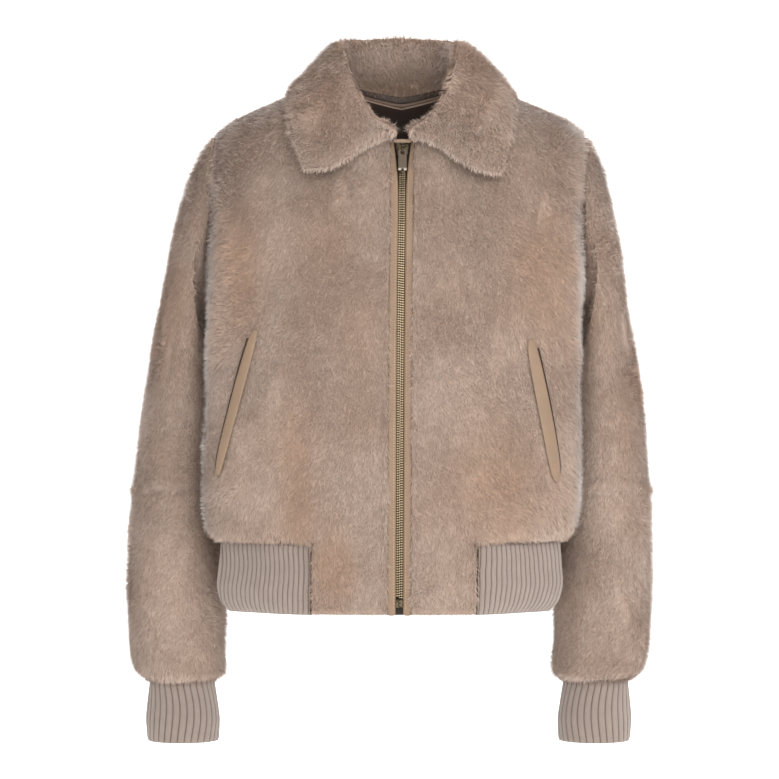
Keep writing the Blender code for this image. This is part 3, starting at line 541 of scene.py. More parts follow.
def near_neck(place):
    return np.linalg.norm(place[:, :2], axis=1) < NECK_REACH


def torso_outward(place):
    """The way out of the torso at each place."""
    lean = np.array(LEAN, float) * MM
    middle = np.zeros_like(place)
    middle[:, 0] = np.interp(place[:, 2], lean[:, 0], lean[:, 1])
    middle[:, 2] = np.minimum(place[:, 2], YOKE)
    return unit_rows(place - middle)


def sleeve_outward(place):
    """The way out of a sleeve at each place."""
    side = np.sign(place[:, 0])
    bend = ease(*ARM_BEND, place[:, 2])[:, None]
    middle = np.array(ARM_MIDDLE)[None, :] * (1 - bend) + np.array(ARM_TOP)[None, :] * bend
    middle[:, 0] *= side
    middle[:, 2] = np.minimum(place[:, 2], ARM_TOP.z)
    return unit_rows(place - middle)


def tree_of(names):
    """A search tree over the named nodes' faces."""
    corners, faces = [], []
    for name in names:
        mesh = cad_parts[name].data
        start = len(corners)
        corners += [v.co.copy() for v in mesh.vertices]
        faces += [[start + i for i in face.vertices] for face in mesh.polygons]
    return BVHTree.FromPolygons(corners, faces)


def covered(place, normal, names, reach):
    """True where another layer's face lies close over the surface."""
    others = tree_of(names)
    found = np.zeros(len(place), bool)
    for i, (p, n) in enumerate(zip(place, normal)):
        start, way = Vector(p) + Vector(n) * OFF_FACE, Vector(n)
        spot, facing, _, _ = others.ray_cast(start, way, reach)
        found[i] = spot is not None and facing.dot(way) < 0
    return found


def behind_neck_tape(place):
    """True round the back of the neck seam, up to the top of the neck tape."""
    back = tree_of(BACKS)
    tape = tree_of(("neck_tape",))
    found = np.zeros(len(place), bool)
    for i in np.nonzero(near_neck(place) & (place[:, 1] > BEHIND))[0]:
        spot = Vector(place[i])
        near_tape = tape.find_nearest(spot)[3] < TAPE_CLEAR
        found[i] = near_tape or back.find_nearest(spot)[3] < BACK_CLEAR
    return found


def under_welt(place):
    """How far each place lies beneath a pocket welt, where the pile is sewn flat."""
    welts = tree_of(WELTS)
    found = np.zeros(len(place))
    for i in np.nonzero(place[:, 1] < 0)[0]:
        x, _, z = place[i]
        spot = welts.ray_cast(Vector((x, -1, z)), Vector((0, 1, 0)))[0]
        found[i] = spot is not None
    return found


def on_sheet(node, middle, normal):
    """True where the cloth's other side lies just behind a face, so not on a cut edge."""
    own = tree_of((node,))
    found = np.zeros(len(middle), bool)
    for i, (p, n) in enumerate(zip(middle, normal)):
        start = Vector(p) - Vector(n) * OFF_FACE
        found[i] = own.ray_cast(start, -Vector(n), SHEET_WALL)[0] is not None
    return found


def sides_of(mesh):
    """For each face, the number of the smooth side it belongs to, parted at sharp edges."""
    shape = bmesh.new()
    shape.from_mesh(mesh)
    shape.faces.ensure_lookup_table()
    side = np.full(len(shape.faces), -1)
    found = 0
    for start in shape.faces:
        if side[start.index] >= 0:
            continue
        side[start.index] = found
        waiting = [start]
        while waiting:
            face = waiting.pop()
            for edge in face.edges:
                if edge.calc_face_angle(math.pi) > SHARP:
                    continue
                for other in edge.link_faces:
                    if side[other.index] < 0:
                        side[other.index] = found
                        waiting.append(other)
        found += 1
    shape.free()
    return side


def by_side(side, area, values):
    """Each face's value taken as the mean over its whole side."""
    total = np.bincount(side, area)
    return (np.bincount(side, area * values) / np.maximum(total, 1e-12))[side]


def measured(mesh):
    """The middle, normal and area of each face."""
    count = len(mesh.polygons)
    area = np.array([face.area for face in mesh.polygons])
    return vectors(mesh.polygons, "center", count), vectors(mesh.polygons, "normal", count), area


def faces_by_side(mesh, node, outward_of):
    """For each face, True where it carries pile, and True where it is the flesh side."""
    middle, normal, area = measured(mesh)
    if outward_of:
        side = sides_of(mesh)
        sheet = by_side(side, area, on_sheet(node, middle, normal)) > 0.5
        outer = by_side(side, area, np.sum(normal * outward_of(middle), axis=1)) > 0
        hidden = covered(middle, normal, ("collar",), UNDER_COLLAR)
        hidden |= near_neck(middle) & (middle[:, 1] > BEHIND)
        return outer & sheet & ~hidden, ~outer & sheet
    hidden = covered(middle, normal, (*FRONTS, *BACKS), OVER_BODY)
    at_throat = (middle[:, 1] < THROAT[1]) & (np.abs(middle[:, 0]) < THROAT[0])
    hidden |= covered(middle, normal, ("collar",), UNDER_LEAF) & ~at_throat
    hidden |= behind_neck_tape(middle)
    return ~hidden, np.zeros(len(middle), bool)


def cut_edges(mesh, node):
    """How far each vertex on a cut edge moves out to meet the piece it is sewn to."""
    middle, normal, area = measured(mesh)
    flags = by_side(sides_of(mesh), area, on_sheet(node, middle, normal)) < 0.5
    share, push = outer_side(mesh, flags)
    return push * (share * SEAM_CLOSE)[:, None]


def outer_side(mesh, flags):
    """For each vertex, 1 where it is on a flagged face, and the way out of those faces only."""
    push = np.zeros((len(mesh.vertices), 3))
    share = np.zeros(len(mesh.vertices))
    for face, flagged in zip(mesh.polygons, flags):
        if flagged:
            corners = list(face.vertices)
            push[corners] += np.array(face.normal) * face.area
            share[corners] = 1.0
    return share, unit_rows(push)


def relief(place, seed):
    """Soft uneven swellings of the hide under its pile."""
    rise = np.empty(len(place))
    (broad_size, broad_height), (fine_size, fine_height) = SWELLS
    for i, p in enumerate(place):
        broad = noise.noise(Vector(p) / broad_size + Vector((seed, 0, 0)))
        fine = noise.noise(Vector(p) / fine_size + Vector((0, seed, 0)))
        rise[i] = broad_height * broad + fine_height * fine
    return rise * MM


def brushed_down(normal, outward, over_seam):
    """The lie of the pile: down the cloth, and outwards on the shoulders and armhole seams."""
    fall = np.zeros_like(normal)
    fall[:, 2] = -1
    fall[:, :2] += SPLAY * outward[:, :2]
    fall[:, 0] += OVER_SEAM * over_seam
    return unit_rows(fall - normal * np.sum(fall * normal, axis=1)[:, None])


def parted(place):
    """The sideways push of each parting on the pile round it, and how open it lies."""
    push = np.zeros_like(place)
    open_here = np.zeros(len(place))
    for x, side, z, slant, long in PARTINGS:
        turn = math.radians(slant)
        dx, dz = place[:, 0] / MM - x, place[:, 2] / MM - z
        run = (dx * math.cos(turn) + dz * math.sin(turn)) / long
        over = (-dx * math.sin(turn) + dz * math.cos(turn)) / PARTING_WIDTH
        reach = np.exp(-(run**2) - over**2) * (place[:, 1] * side > BEHIND)
        push[:, 0] += -math.sin(turn) * reach * np.sign(over)
        push[:, 2] += math.cos(turn) * reach * np.sign(over)
        open_here = np.maximum(open_here, reach * np.exp(-((over * PARTED_TUCK) ** 2)))
    return push, open_here


def cropped(place, node):
    """The pile's length as a share: shorn at the fronts' hem, fuller on the shoulder's tip."""
    tip = ease(150 * MM, 190 * MM, np.abs(place[:, 0])) * ease(-150 * MM, -60 * MM, place[:, 2])
    full = 1 + TIP_FULL * tip
    if node not in FRONTS:
        return full
    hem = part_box(node)[0].z
    return full * (HEM_CROP + (1 - HEM_CROP) * ease(hem + 1 * MM, hem + 12 * MM, place[:, 2]))


def painted_neck_shade(place):
    """How deep each place lies inside the neck, where the pile's colour is darkened towards brown as
    painted shade.
    """
    inside = ease(-80 * MM, -64 * MM, -np.linalg.norm(place[:, :2], axis=1))
    return inside * ease(-62 * MM, -14 * MM, -place[:, 2]) * (place[:, 1] > BEHIND)


def painted_sheen_of(node):
    """How strongly a cut of shearling shows the painted sheen."""
    return PAINTED_SHEEN["sleeve" if node in SLEEVES else "collar" if node == "collar" else "body"]


def warmth(place):
    """How far each place lies in one of the warmer patches, on the front only."""
    warm = np.zeros(len(place))
    for x, z, wide, high, strength in WARM:
        gap = ((place[:, 0] / MM - x) / wide) ** 2 + ((place[:, 2] / MM - z) / high) ** 2
        warm = np.maximum(warm, strength * np.exp(-gap))
    return warm * (place[:, 1] < 20 * MM)


def write(mesh, name, values):
    """Gives the mesh an attribute: one number for each vertex, or rows of three."""
    kind, key = ("FLOAT", "value") if values.ndim == 1 else ("FLOAT_VECTOR", "vector")
    made = mesh.attributes.new(name, kind, "POINT")
    made.data.foreach_set(key, np.ascontiguousarray(values, np.float32).ravel())


def at_sewn_edge(place):
    """True at the armhole's and the shoulder's seams, where the hides meet under their pile."""
    armhole = (np.abs(place[:, 0]) > ARM_SEAM.x) & (place[:, 2] > ARM_SEAM.z)
    return armhole | (place[:, 2] > YOKE) & ~near_neck(place)


def over_armhole(place):
    """How far, and to which side, the body's pile is brushed over the armhole's seam."""
    reach = np.sign(place[:, 0]) * ease(160 * MM, 190 * MM, np.abs(place[:, 0]))
    return reach * (place[:, 2] > ARM_SEAM.z)


def hide_piece(node, outward_of, depth):
    """A cut of shearling: suede inside, underwool outside, sunk to leave room for its pile."""
    piece = smoothed(f"{node}_hide", node, 1.0 if outward_of else 0.4)
    mesh = piece.data
    place = vectors(mesh.vertices, "co", len(mesh.vertices))
    flags, flesh = faces_by_side(mesh, node, outward_of)
    furred, push = outer_side(mesh, flags)
    rim, _ = outer_side(mesh, ~flags & ~flesh)
    at_seam = rim * at_sewn_edge(place)
    rise = RIM_RISE + (1 - RIM_RISE) * at_seam
    seed = float(sorted(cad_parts).index(node))
    sink = (depth - relief(place, seed)) * furred * (1 - rise * rim)
    sunk = place - push * sink[:, None]
    if outward_of:
        sunk += cut_edges(mesh, node)
    mesh.vertices.foreach_set("co", sunk.ravel())
    mesh.update()
    outward = outward_of(place) if outward_of else unit_rows(place - np.array(NECK_MIDDLE))
    over_seam = over_armhole(place) if outward_of is torso_outward else 0 * furred
    spread, parting = parted(place)
    flat = under_welt(place) if node in FRONTS else 0.0
    write(mesh, "pile", np.maximum(furred, at_seam) * (1 - PARTED_BARE * parting) * (1 - flat))
    write(mesh, "cropped", cropped(place, node))
    write(mesh, "nap", brushed_down(push, outward, over_seam) + PARTED_PUSH * spread)
    write(mesh, "warm", warmth(place))
    # Painted shade deep inside the collar's neck.
    write(mesh, "deep", painted_neck_shade(place) if node == "collar" else 0 * furred)
    # Painted sheen's strength at each place: the cut's share, fading out where the hide faces downwards
    # into shade, and none on the rims.
    write(mesh, "grazed", painted_sheen_of(node) * ease(-0.7, 0.0, push[:, 2]) * (1 - rim))
    mesh.materials.append(suede())
    mesh.materials.append(wool_base())
    mesh.polygons.foreach_set("material_index", (~flesh).astype(np.int32))
    return piece


def new_tree(name, source, numbers, result, whole=()):
    """A geometry-nodes tree with its named inputs, and the sockets that give them."""
    tree = bpy.data.node_groups.new(name, "GeometryNodeTree")
    tree.is_modifier = True
    wanted = [(source, "Geometry")] + [(title, "Float") for title in numbers]
    wanted += [(title, "Int") for title in whole] + [("Material", "Material")]
    for title, kind in wanted:
        tree.interface.new_socket(title, in_out="INPUT", socket_type=f"NodeSocket{kind}")
    tree.interface.new_socket(result, in_out="OUTPUT", socket_type="NodeSocketGeometry")
    return tree, add(tree, "NodeGroupInput").outputs


def aimed(tree, vector, axis, rotation=None):
    """A rotation that brings the axis to the vector, by a turn about Z where one is given."""
    inputs, settings = {"Vector": vector}, {"axis": axis}
    if rotation is not None:
        inputs["Rotation"] = rotation
        settings["pivot_axis"] = "Z"
    return add(tree, "FunctionNodeAlignRotationToVector", inputs, **settings).outputs[0]


def stored(tree, geometry, name, value, kind="FLOAT"):
    inputs = {"Geometry": geometry, "Name": name, "Value": value}
    return add(
        tree, "GeometryNodeStoreNamedAttribute", inputs, data_type=kind, domain="POINT"
    ).outputs[0]


def planted(tree, given, result, placing, dropped=()):
    """Ends a tree: instances on points, made real, without spare attributes, in their material."""
    made = add(tree, "GeometryNodeInstanceOnPoints", placing).outputs[0]
    made = add(tree, "GeometryNodeRealizeInstances", {"Geometry": made}).outputs[0]
    for name in dropped:
        made = add(tree, "GeometryNodeRemoveAttribute", {"Geometry": made, "Name": name}).outputs[0]
    inputs = {"Geometry": made, "Material": given["Material"]}
    add(tree, "NodeGroupOutput", {result: add(tree, "GeometryNodeSetMaterial", inputs).outputs[0]})
    return tree


@cache
def pile_tree():
    """Geometry nodes that scatter flat tapering locks where the hide is furred."""
    numbers = ("Locks per square metre", "Length", "Width", "Lift", "Swirl", "Tangle")
    numbers += ("Tufts per metre", "Gather")
    tree, given = new_tree("Shearling pile", "Hide", numbers, "Pile", ("Seed",))

    def named(name, kind="FLOAT"):
        return add(tree, "GeometryNodeInputNamedAttribute", {"Name": name}, data_type=kind).outputs[0]

    def vector(operation, first, second):
        return add(tree, "ShaderNodeVectorMath", {0: first, 1: second}, operation=operation).outputs[0]

    def scaled(value, by):
        return add(tree, "ShaderNodeVectorMath", {0: value, "Scale": by}, operation="SCALE").outputs[0]

    def swirl(scale):
        """Brushing marks of one size."""
        marks = add(tree, "ShaderNodeTexNoise", {"Scale": scale, "Detail": 1.0}).outputs["Color"]
        return scaled(vector("SUBTRACT", marks, (0.5, 0.5, 0.5)), given["Swirl"])

    density = maths(tree, "MULTIPLY", given["Locks per square metre"], named("pile"))
    spots = add(
        tree,
        "GeometryNodeDistributePointsOnFaces",
        {"Mesh": given["Hide"], "Density": density, "Seed": given["Seed"]},
    )
    skin = spots.outputs["Normal"]
    stray = add(
        tree,
        "FunctionNodeRandomValue",
        {"Min": (-1, -1, -1), "Max": (1, 1, 1), "Seed": given["Seed"]},
        data_type="FLOAT_VECTOR",
    ).outputs[0]
    cells = add(tree, "ShaderNodeTexVoronoi", {"Scale": given["Tufts per metre"]})
    here = add(tree, "GeometryNodeInputPosition").outputs[0]
    inward = vector("SUBTRACT", cells.outputs["Position"], here)
    lie = named("nap", "FLOAT_VECTOR")
    for part in (
        scaled(swirl(11.0), 2.0),
        swirl(70.0),
        scaled(stray, given["Tangle"]),
        scaled(inward, given["Gather"]),
        scaled(skin, given["Lift"]),
    ):
        lie = vector("ADD", lie, part)
    turned = aimed(tree, vector("ADD", skin, scaled(stray, 0.35)), "Y", aimed(tree, lie, "Z"))

    # One lock: a triangle that stands on its short side, with its tip at height 1.
    triangle = add(tree, "GeometryNodeMeshCircle", {"Vertices": 3}, fill_type="NGON").outputs[0]
    corner = add(tree, "GeometryNodeInputIndex").outputs[0]
    is_tip = maths(tree, "GREATER_THAN", corner, 1.5)
    across = maths(
        tree, "MULTIPLY", maths(tree, "SUBTRACT", corner, 0.5), maths(tree, "SUBTRACT", 1.0, is_tip)
    )
    shape = {"Geometry": triangle, "Position": combined(tree, across, 0.0, is_tip)}
    lock = add(tree, "GeometryNodeSetPosition", shape).outputs[0]
    lock = stored(tree, lock, "tip", is_tip)

    limits = {2: 0.0, 3: 1.0, "Seed": given["Seed"]}
    chance = add(tree, "FunctionNodeRandomValue", limits, data_type="FLOAT").outputs[1]
    of_tuft = add(tree, "ShaderNodeSeparateXYZ", {0: cells.outputs["Color"]}).outputs[0]
    chance = add(tree, "ShaderNodeMix", {"Factor": 0.55, 2: chance, 3: of_tuft}).outputs[0]
    points = stored(tree, spots.outputs["Points"], "strand", chance)
    points = stored(tree, points, "skin", skin, "FLOAT_VECTOR")
    uneven = {"Value": chance, "To Min": 0.7, "To Max": 1.25}
    long = maths(tree, "MULTIPLY", add(tree, "ShaderNodeMapRange", uneven).outputs[0], given["Length"])
    long = maths(tree, "MULTIPLY", long, named("cropped"))
    size = combined(tree, given["Width"], 1.0, long)
    placing = {"Points": points, "Instance": lock, "Rotation": turned, "Scale": size}
    return planted(tree, given, "Pile", placing, ("pile", "nap", "cropped"))


def dress(piece, material=None, node=None):
    """Gives a piece its material, puts it under its body, and hides the solid that it stands for."""
    if material:
        piece.data.materials.append(material)
    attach(piece, BODY)
    if node:
        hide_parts(node)


def grown(name, source, tree, values):
    """A new plain mesh from a geometry-nodes tree run on a copy of the source's mesh."""
    piece = new_piece(name, source.data.copy())
    modifier = piece.modifiers.new("Nodes", "NODES")
    modifier.node_group = tree
    for item in tree.interface.items_tree:
        if item.in_out == "INPUT" and item.name in values:
            modifier[item.identifier] = values[item.name]
    return settle(piece)


def area_furred(mesh):
    """The furred area in square metres."""
    pile = np.empty(len(mesh.vertices), np.float32)
    mesh.attributes["pile"].data.foreach_get("value", pile)
    return sum(face.area * float(np.mean(pile[list(face.vertices)])) for face in mesh.polygons)


def shearling(node, outward_of, depth_share=1.0, length_share=1.0):
    """One cut of shearling, its hide and its pile."""
    fur = bpy.context.scene.jacket_fur
    locks = LOCKS[without_side(node)]
    hide = hide_piece(node, outward_of, fur.depth * depth_share)
    pile = grown(
        f"{node}_pile",
        hide,
        pile_tree(),
        {
            "Locks per square metre": locks / area_furred(hide.data),
            "Length": fur.length * length_share,
            "Width": fur.width * 1.0,
            "Lift": fur.lift,
            "Swirl": fur.swirl,
            "Tangle": fur.tangle,
            "Tufts per metre": 1 / fur.tuft,
            "Gather": fur.gather / fur.length,
            "Seed": fur.seed + sorted(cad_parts).index(node),
            "Material": shearling_fur(),
        },
    )
    dress(hide, node=node)
    dress(pile)


class JACKET_OT_fronts(bpy.types.Operator):
    """Makes the two shearling fronts and their pile."""

    bl_idname = "jacket.fronts"
    bl_label = "Fronts"

    def execute(self, context):
        for node in FRONTS:
            shearling(node, torso_outward)
        return {"FINISHED"}


class JACKET_OT_backs(bpy.types.Operator):
    """Makes the two halves of the shearling back and their pile."""

    bl_idname = "jacket.backs"
    bl_label = "Backs"

    def execute(self, context):
        for node in BACKS:
            shearling(node, torso_outward)
        return {"FINISHED"}


class JACKET_OT_sleeves(bpy.types.Operator):
    """Makes the upper and lower tubes of both sleeves and their pile."""

    bl_idname = "jacket.sleeves"
    bl_label = "Sleeves"

    def execute(self, context):
        for node in SLEEVES:
            shearling(node, sleeve_outward)
        return {"FINISHED"}


class JACKET_OT_collar(bpy.types.Operator):
    """Makes the turned-down shearling collar and its pile."""

    bl_idname = "jacket.collar"
    bl_label = "Collar"

    def execute(self, context):
        shearling("collar", None, depth_share=0.8, length_share=1.15)
        return {"FINISHED"}


# One rib across: share of its width, and how high it stands there. Heights over the wall's
# inner face: the groove's floor and the rib's top.
RIB_PROFILE = ((0.0, 0.0), (0.05, 0.6), (0.14, 0.93), (0.38, 1.0), (0.62, 1.0), (0.86, 0.93), (0.95, 0.6))
RIB_FLOOR = 3.0 * MM
RIB_TOP = 4.2 * MM
INNER_LIFT = 0.2 * MM
EDGE = 0.2 * MM
# The bands' middles, how far their ribs drift sideways on the way down, and how far a top edge
# is tucked up into its sleeve so that no gap shows from below, in millimetres.
BANDS = {
    "hem_rib": {"ribs": 136, "rows": 22, "middle": None, "drift": 4.0, "tuck": 0.0},
    "cuff_right": {"ribs": 31, "rows": 20, "middle": (-232, 20), "drift": 3.0, "tuck": 4.0},
    "cuff_left": {"ribs": 31, "rows": 20, "middle": (208, 20), "drift": -3.0, "tuck": 4.0},
}


def inner_ring(tree, middle, z, rays):
    """Where level rays from the middle first meet a band's inner wall, in turn round it."""
    found = []
    for turn in rays:
        way = Vector((math.sin(turn), -math.cos(turn), 0))
        hit = tree.ray_cast(Vector((middle[0], middle[1], z)), way)[0]
        if hit is not None:
            found.append(np.array(hit))
    return np.array(found)


def along_line(points, shares):
    """Points at shares of a polyline's length."""
    run = np.concatenate([[0], np.cumsum(np.linalg.norm(np.diff(points, axis=0), axis=1))])
    return np.stack([np.interp(shares * run[-1], run, column) for column in points.T], axis=1)


def rib_shares(ribs, open):
    """Where the profile's corners lie along the whole band, and how high they stand."""
    shares, rise = [], []
    for rib in range(ribs):
        for at, height in RIB_PROFILE:
            shares.append((rib + at) / ribs)
            rise.append(height)
    if open:
        shares.append(1.0)
        rise.append(0.0)
    return np.array(shares), np.array(rise)


def ring_faces(rings, count, open):
    """The faces of a wall made of closed rings of edges, with its two ends where it is open."""
    faces = []
    for r in range(rings):
        s = (r + 1) % rings
        for c in range(count - 1 if open else count):
            d = (c + 1) % count
            faces.append((r * count + c, s * count + c, s * count + d, r * count + d))
    if open:
        faces.append(tuple(r * count for r in reversed(range(rings))))
        faces.append(tuple(r * count + count - 1 for r in range(rings)))
    return faces


def rib_band(node, ribs, rows, middle, drift, tuck):
    """A rib-knit band as a closed wall: ribs outside, plain inside, a turned lower edge.

    A band with no middle of its own is open in front; the others go all the way round.
    """
    low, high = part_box(node)
    open = middle is None
    middle = ((low.x + high.x) / 2, (low.y + high.y) / 2) if open else (middle[0] * MM, middle[1] * MM)
    rays = np.radians(np.linspace(0, 360, 1441)) + (0 if open else math.pi)
    shares, rise = rib_shares(ribs, open)
    tree = tree_of((node,))
    heights = np.linspace(high.z - EDGE, low.z + EDGE, rows)
    inner = np.array([along_line(inner_ring(tree, middle, z, rays), shares) for z in heights])
    for _ in range(3):
        inner[1:-1] = (inner[:-2] + 2 * inner[1:-1] + inner[2:]) / 4
    down = np.linspace(0, 1, rows)[:, None]
    slide = drift * MM * np.sin(down * math.pi * 1.2) * (1 - np.abs(2 * shares[None, :] - 1) ** 8)
    if open:
        across = np.gradient(inner, axis=1)
    else:
        across = (np.roll(inner, -1, axis=1) - np.roll(inner, 1, axis=1)) / 2
    across[..., 2] = 0
    across /= np.maximum(np.linalg.norm(across, axis=2), 1e-9)[..., None]
    outward = np.stack([across[..., 1], -across[..., 0], 0 * across[..., 0]], axis=2)
    to_middle = np.array((*middle, 0)) - inner
    outward *= -np.sign(np.sum(outward * to_middle, axis=2).mean())
    inner = inner + across * slide[..., None]
    inner[0, :, 2] += tuck * MM
    fade = np.clip((1 - down) / 0.06, 0, 1) * 0.7 + 0.3
    outer = inner + outward * ((RIB_FLOOR + (RIB_TOP - RIB_FLOOR) * rise[None, :] * fade)[..., None])
    turned = (inner[-1] + outer[-1]) / 2 - np.array((0, 0, EDGE))
    rings = [*outer, turned, *(inner[::-1] + outward[::-1] * INNER_LIFT)]
    # How high the knit stands, which sets its painted groove shade: the ribs' heights outside, less at the
    # turned edge, a middle tone on the plain inside.
    values = [*[rise] * rows, rise * 0.6, *[np.full_like(rise, 0.5)] * rows]
    mesh = bpy.data.meshes.new(f"{node}_knit")
    mesh.from_pydata(np.concatenate(rings).tolist(), [], ring_faces(len(rings), len(shares), open))
    write(mesh, "rib", np.concatenate(values))
    face_outwards(mesh)
    mesh.shade_smooth()
    return new_piece(f"{node}_knit", mesh)


class JACKET_OT_knit(bpy.types.Operator):
    """Makes the hem band and the cuffs in rib knit."""

    bl_idname = "jacket.knit"
    bl_label = "Rib knit"

    def execute(self, context):
        for node, band in BANDS.items():
            piece = rib_band(node, **band)
            dress(piece, rib_knit(), node)
        return {"FINISHED"}


class JACKET_OT_leather(bpy.types.Operator):
    """Makes the zip's leather bindings, the pocket welts and the neck tape."""

    bl_idname = "jacket.leather"
    bl_label = "Leather trim"

    def execute(self, context):
        for node in (*BINDINGS, *WELTS, "neck_tape"):
            piece = smoothed(f"{node}_leather", node, 0.0 if node in WELTS else 0.45)
            if node in WELTS:
                piece.data.transform(Matrix.Translation((0, WELT_SINK, 0)))
            dress(piece, nappa(*(BROWN if node == "neck_tape" else TAN)), node)
        return {"FINISHED"}


TOOTH_REACH = 3.3 * MM
TOOTH_DEPTH = 3.6 * MM


def front_path(node, top, bottom, step, offset=0.0):
    """Points down the front of a node, in metres, found by looking at it from the front."""
    tree = tree_of((node,))
    lean = np.array(ZIP_LEAN, float) * MM
    found = []
    for z in np.arange(top, bottom, -step):
        x = float(np.interp(z, lean[:, 0], lean[:, 1])) + offset
        hit = tree.ray_cast(Vector((x, -1, z)), Vector((0, 1, 0)))[0]
        if hit is not None:
            found.append(hit)
    return found


def spots_along(tree, path, step):
    """Points along a path, a step apart."""
    curve = add(tree, "GeometryNodeMeshToCurve", {"Mesh": path}).outputs[0]
    return add(tree, "GeometryNodeCurveToPoints", {"Curve": curve, "Length": step}, mode="LENGTH")


@cache
def teeth_tree():
    """Geometry nodes that set teeth down a path, turn about on its two sides."""
    tree, given = new_tree("Zip teeth", "Path", ("Pitch", "Reach", "Depth"), "Teeth")

    def times(value, by):
        return maths(tree, "MULTIPLY", value, by)

    def moved(geometry, along, **inputs):
        """A part of the tooth at its place: this share of the reach along it, halfway out."""
        place = combined(tree, times(given["Reach"], along), times(given["Depth"], 0.5), 0.0)
        inputs.update(Geometry=geometry, Translation=place)
        return add(tree, "GeometryNodeTransform", inputs).outputs[0]

    step = times(given["Pitch"], 0.5)
    spots = spots_along(tree, given["Path"], step)
    number = add(tree, "GeometryNodeInputIndex").outputs[0]
    side = maths(tree, "SUBTRACT", times(maths(tree, "MODULO", number, 2.0), 2.0), 1.0)
    upright = aimed(tree, spots.outputs["Tangent"], "Z")
    turned = aimed(tree, combined(tree, side, 0.0, 0.0), "X", upright)
    size = combined(tree, times(given["Reach"], 0.55), times(given["Depth"], 0.8), times(step, 0.8))
    shank = add(tree, "GeometryNodeMeshCube", {"Size": size}).outputs[0]
    round_head = {"Vertices": 10, "Radius": times(step, 0.6), "Depth": times(given["Depth"], 0.8)}
    head = add(tree, "GeometryNodeMeshCylinder", round_head).outputs[0]
    laid = {"Rotation": (math.pi / 2, 0, 0), "Scale": (1.0, 0.55, 1.0)}
    tooth = add(tree, "GeometryNodeJoinGeometry")
    for part in (moved(shank, 0.66), moved(head, 0.06, **laid)):
        tree.links.new(part, tooth.inputs[0])
    placing = {"Points": spots.outputs[0], "Instance": tooth.outputs[0], "Rotation": turned}
    return planted(tree, given, "Teeth", placing)


def path_piece(name, points):
    mesh = bpy.data.meshes.new(name)
    mesh.from_pydata([tuple(p) for p in points], [(i, i + 1) for i in range(len(points) - 1)], [])
    return new_piece(name, mesh)


class JACKET_OT_zip(bpy.types.Operator):
    """Makes the zip's teeth, and finishes its tape, box, slider and pull tab."""

    bl_idname = "jacket.zip"
    bl_label = "Zip"

    def execute(self, context):
        trim = context.scene.jacket_trim
        low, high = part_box("zip_chain")
        points = front_path("zip_chain", high.z - 1 * MM, low.z + 1 * MM, 4 * MM)
        guide = path_piece("zip_guide", points)
        brass = metal_finish("Aged brass", trim.brass, 0.35).material
        values = {"Pitch": trim.tooth_pitch, "Reach": TOOTH_REACH, "Depth": TOOTH_DEPTH, "Material": brass}
        teeth = grown("zip_teeth", guide, teeth_tree(), values)
        bpy.data.objects.remove(guide)
        dress(teeth, node="zip_chain")
        for node, finish in (
            ("zip_tape", zip_cloth()),
            ("zip_box", slider_metal()),
            ("zip_slider", slider_metal()),
            ("zip_pull", pull_metal()),
        ):
            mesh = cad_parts[node].data
            mesh.materials.clear()
            mesh.materials.append(finish)
        return {"FINISHED"}


@cache
def stitch_tree():
    """Geometry nodes that lay short stitches end to end along a path."""
    tree, given = new_tree("Stitches", "Path", ("Pitch", "Radius"), "Stitches")
    spots = spots_along(tree, given["Path"], given["Pitch"])
    round_bead = {"Segments": 6, "Rings": 4, "Radius": given["Radius"]}
    bead = add(tree, "GeometryNodeMeshUVSphere", round_bead).outputs[0]
    half = maths(tree, "MULTIPLY", given["Pitch"], 0.42)
    stretch = combined(tree, 1.0, 1.0, maths(tree, "DIVIDE", half, given["Radius"]))
    upright = aimed(tree, spots.outputs["Tangent"], "Z")
    placing = {"Points": spots.outputs[0], "Instance": bead, "Rotation": upright, "Scale": stretch}
    return planted(tree, given, "Stitches", placing)


# The bindings' stitches: how far from the zip's middle they run, where the row starts and ends
# from the binding's own ends, and how thick the thread is.
STITCH_OFF = 6.1 * MM
STITCH_TOP = 34 * MM
STITCH_FOOT = 3 * MM
THREAD_RADIUS = 0.3 * MM


def seam(name, points):
    """A row of stitches through the points."""
    pitch = bpy.context.scene.jacket_trim.stitch_pitch
    guide = path_piece(f"{name}_guide", points)
    values = {"Pitch": pitch, "Radius": THREAD_RADIUS, "Material": thread()}
    row = grown(name, guide, stitch_tree(), values)
    bpy.data.objects.remove(guide)
    row.data.shade_smooth()
    dress(row)
    return row


def rounded_bar(name, middle, size, radius):
    """A small bar with rounded edges."""
    shape = bmesh.new()
    bmesh.ops.create_cube(shape, size=1.0)
    for vertex in shape.verts:
        vertex.co = Vector(middle) + Vector([c * s for c, s in zip(vertex.co, size)])
    bmesh.ops.bevel(
        shape, geom=shape.edges, offset=radius, segments=3, profile=0.6, affect="EDGES"
    )
    mesh = bpy.data.meshes.new(name)
    shape.to_mesh(mesh)
    shape.free()
    mesh.shade_smooth()
    return new_piece(name, mesh)


# Painted shadow: the pocket's opening is drawn as a dark suede slit.
# The pocket's slit at its top: its width, and its section as shares of that width sideways and
# millimetres inwards. It narrows downwards by NARROWED.
SLIT_WIDTH = 1.3 * MM
SLIT_SECTION = ((-0.4, 1.6), (1.0, 1.9), (1.0, 3.4), (-0.4, 3.4))
NARROWED = 0.75


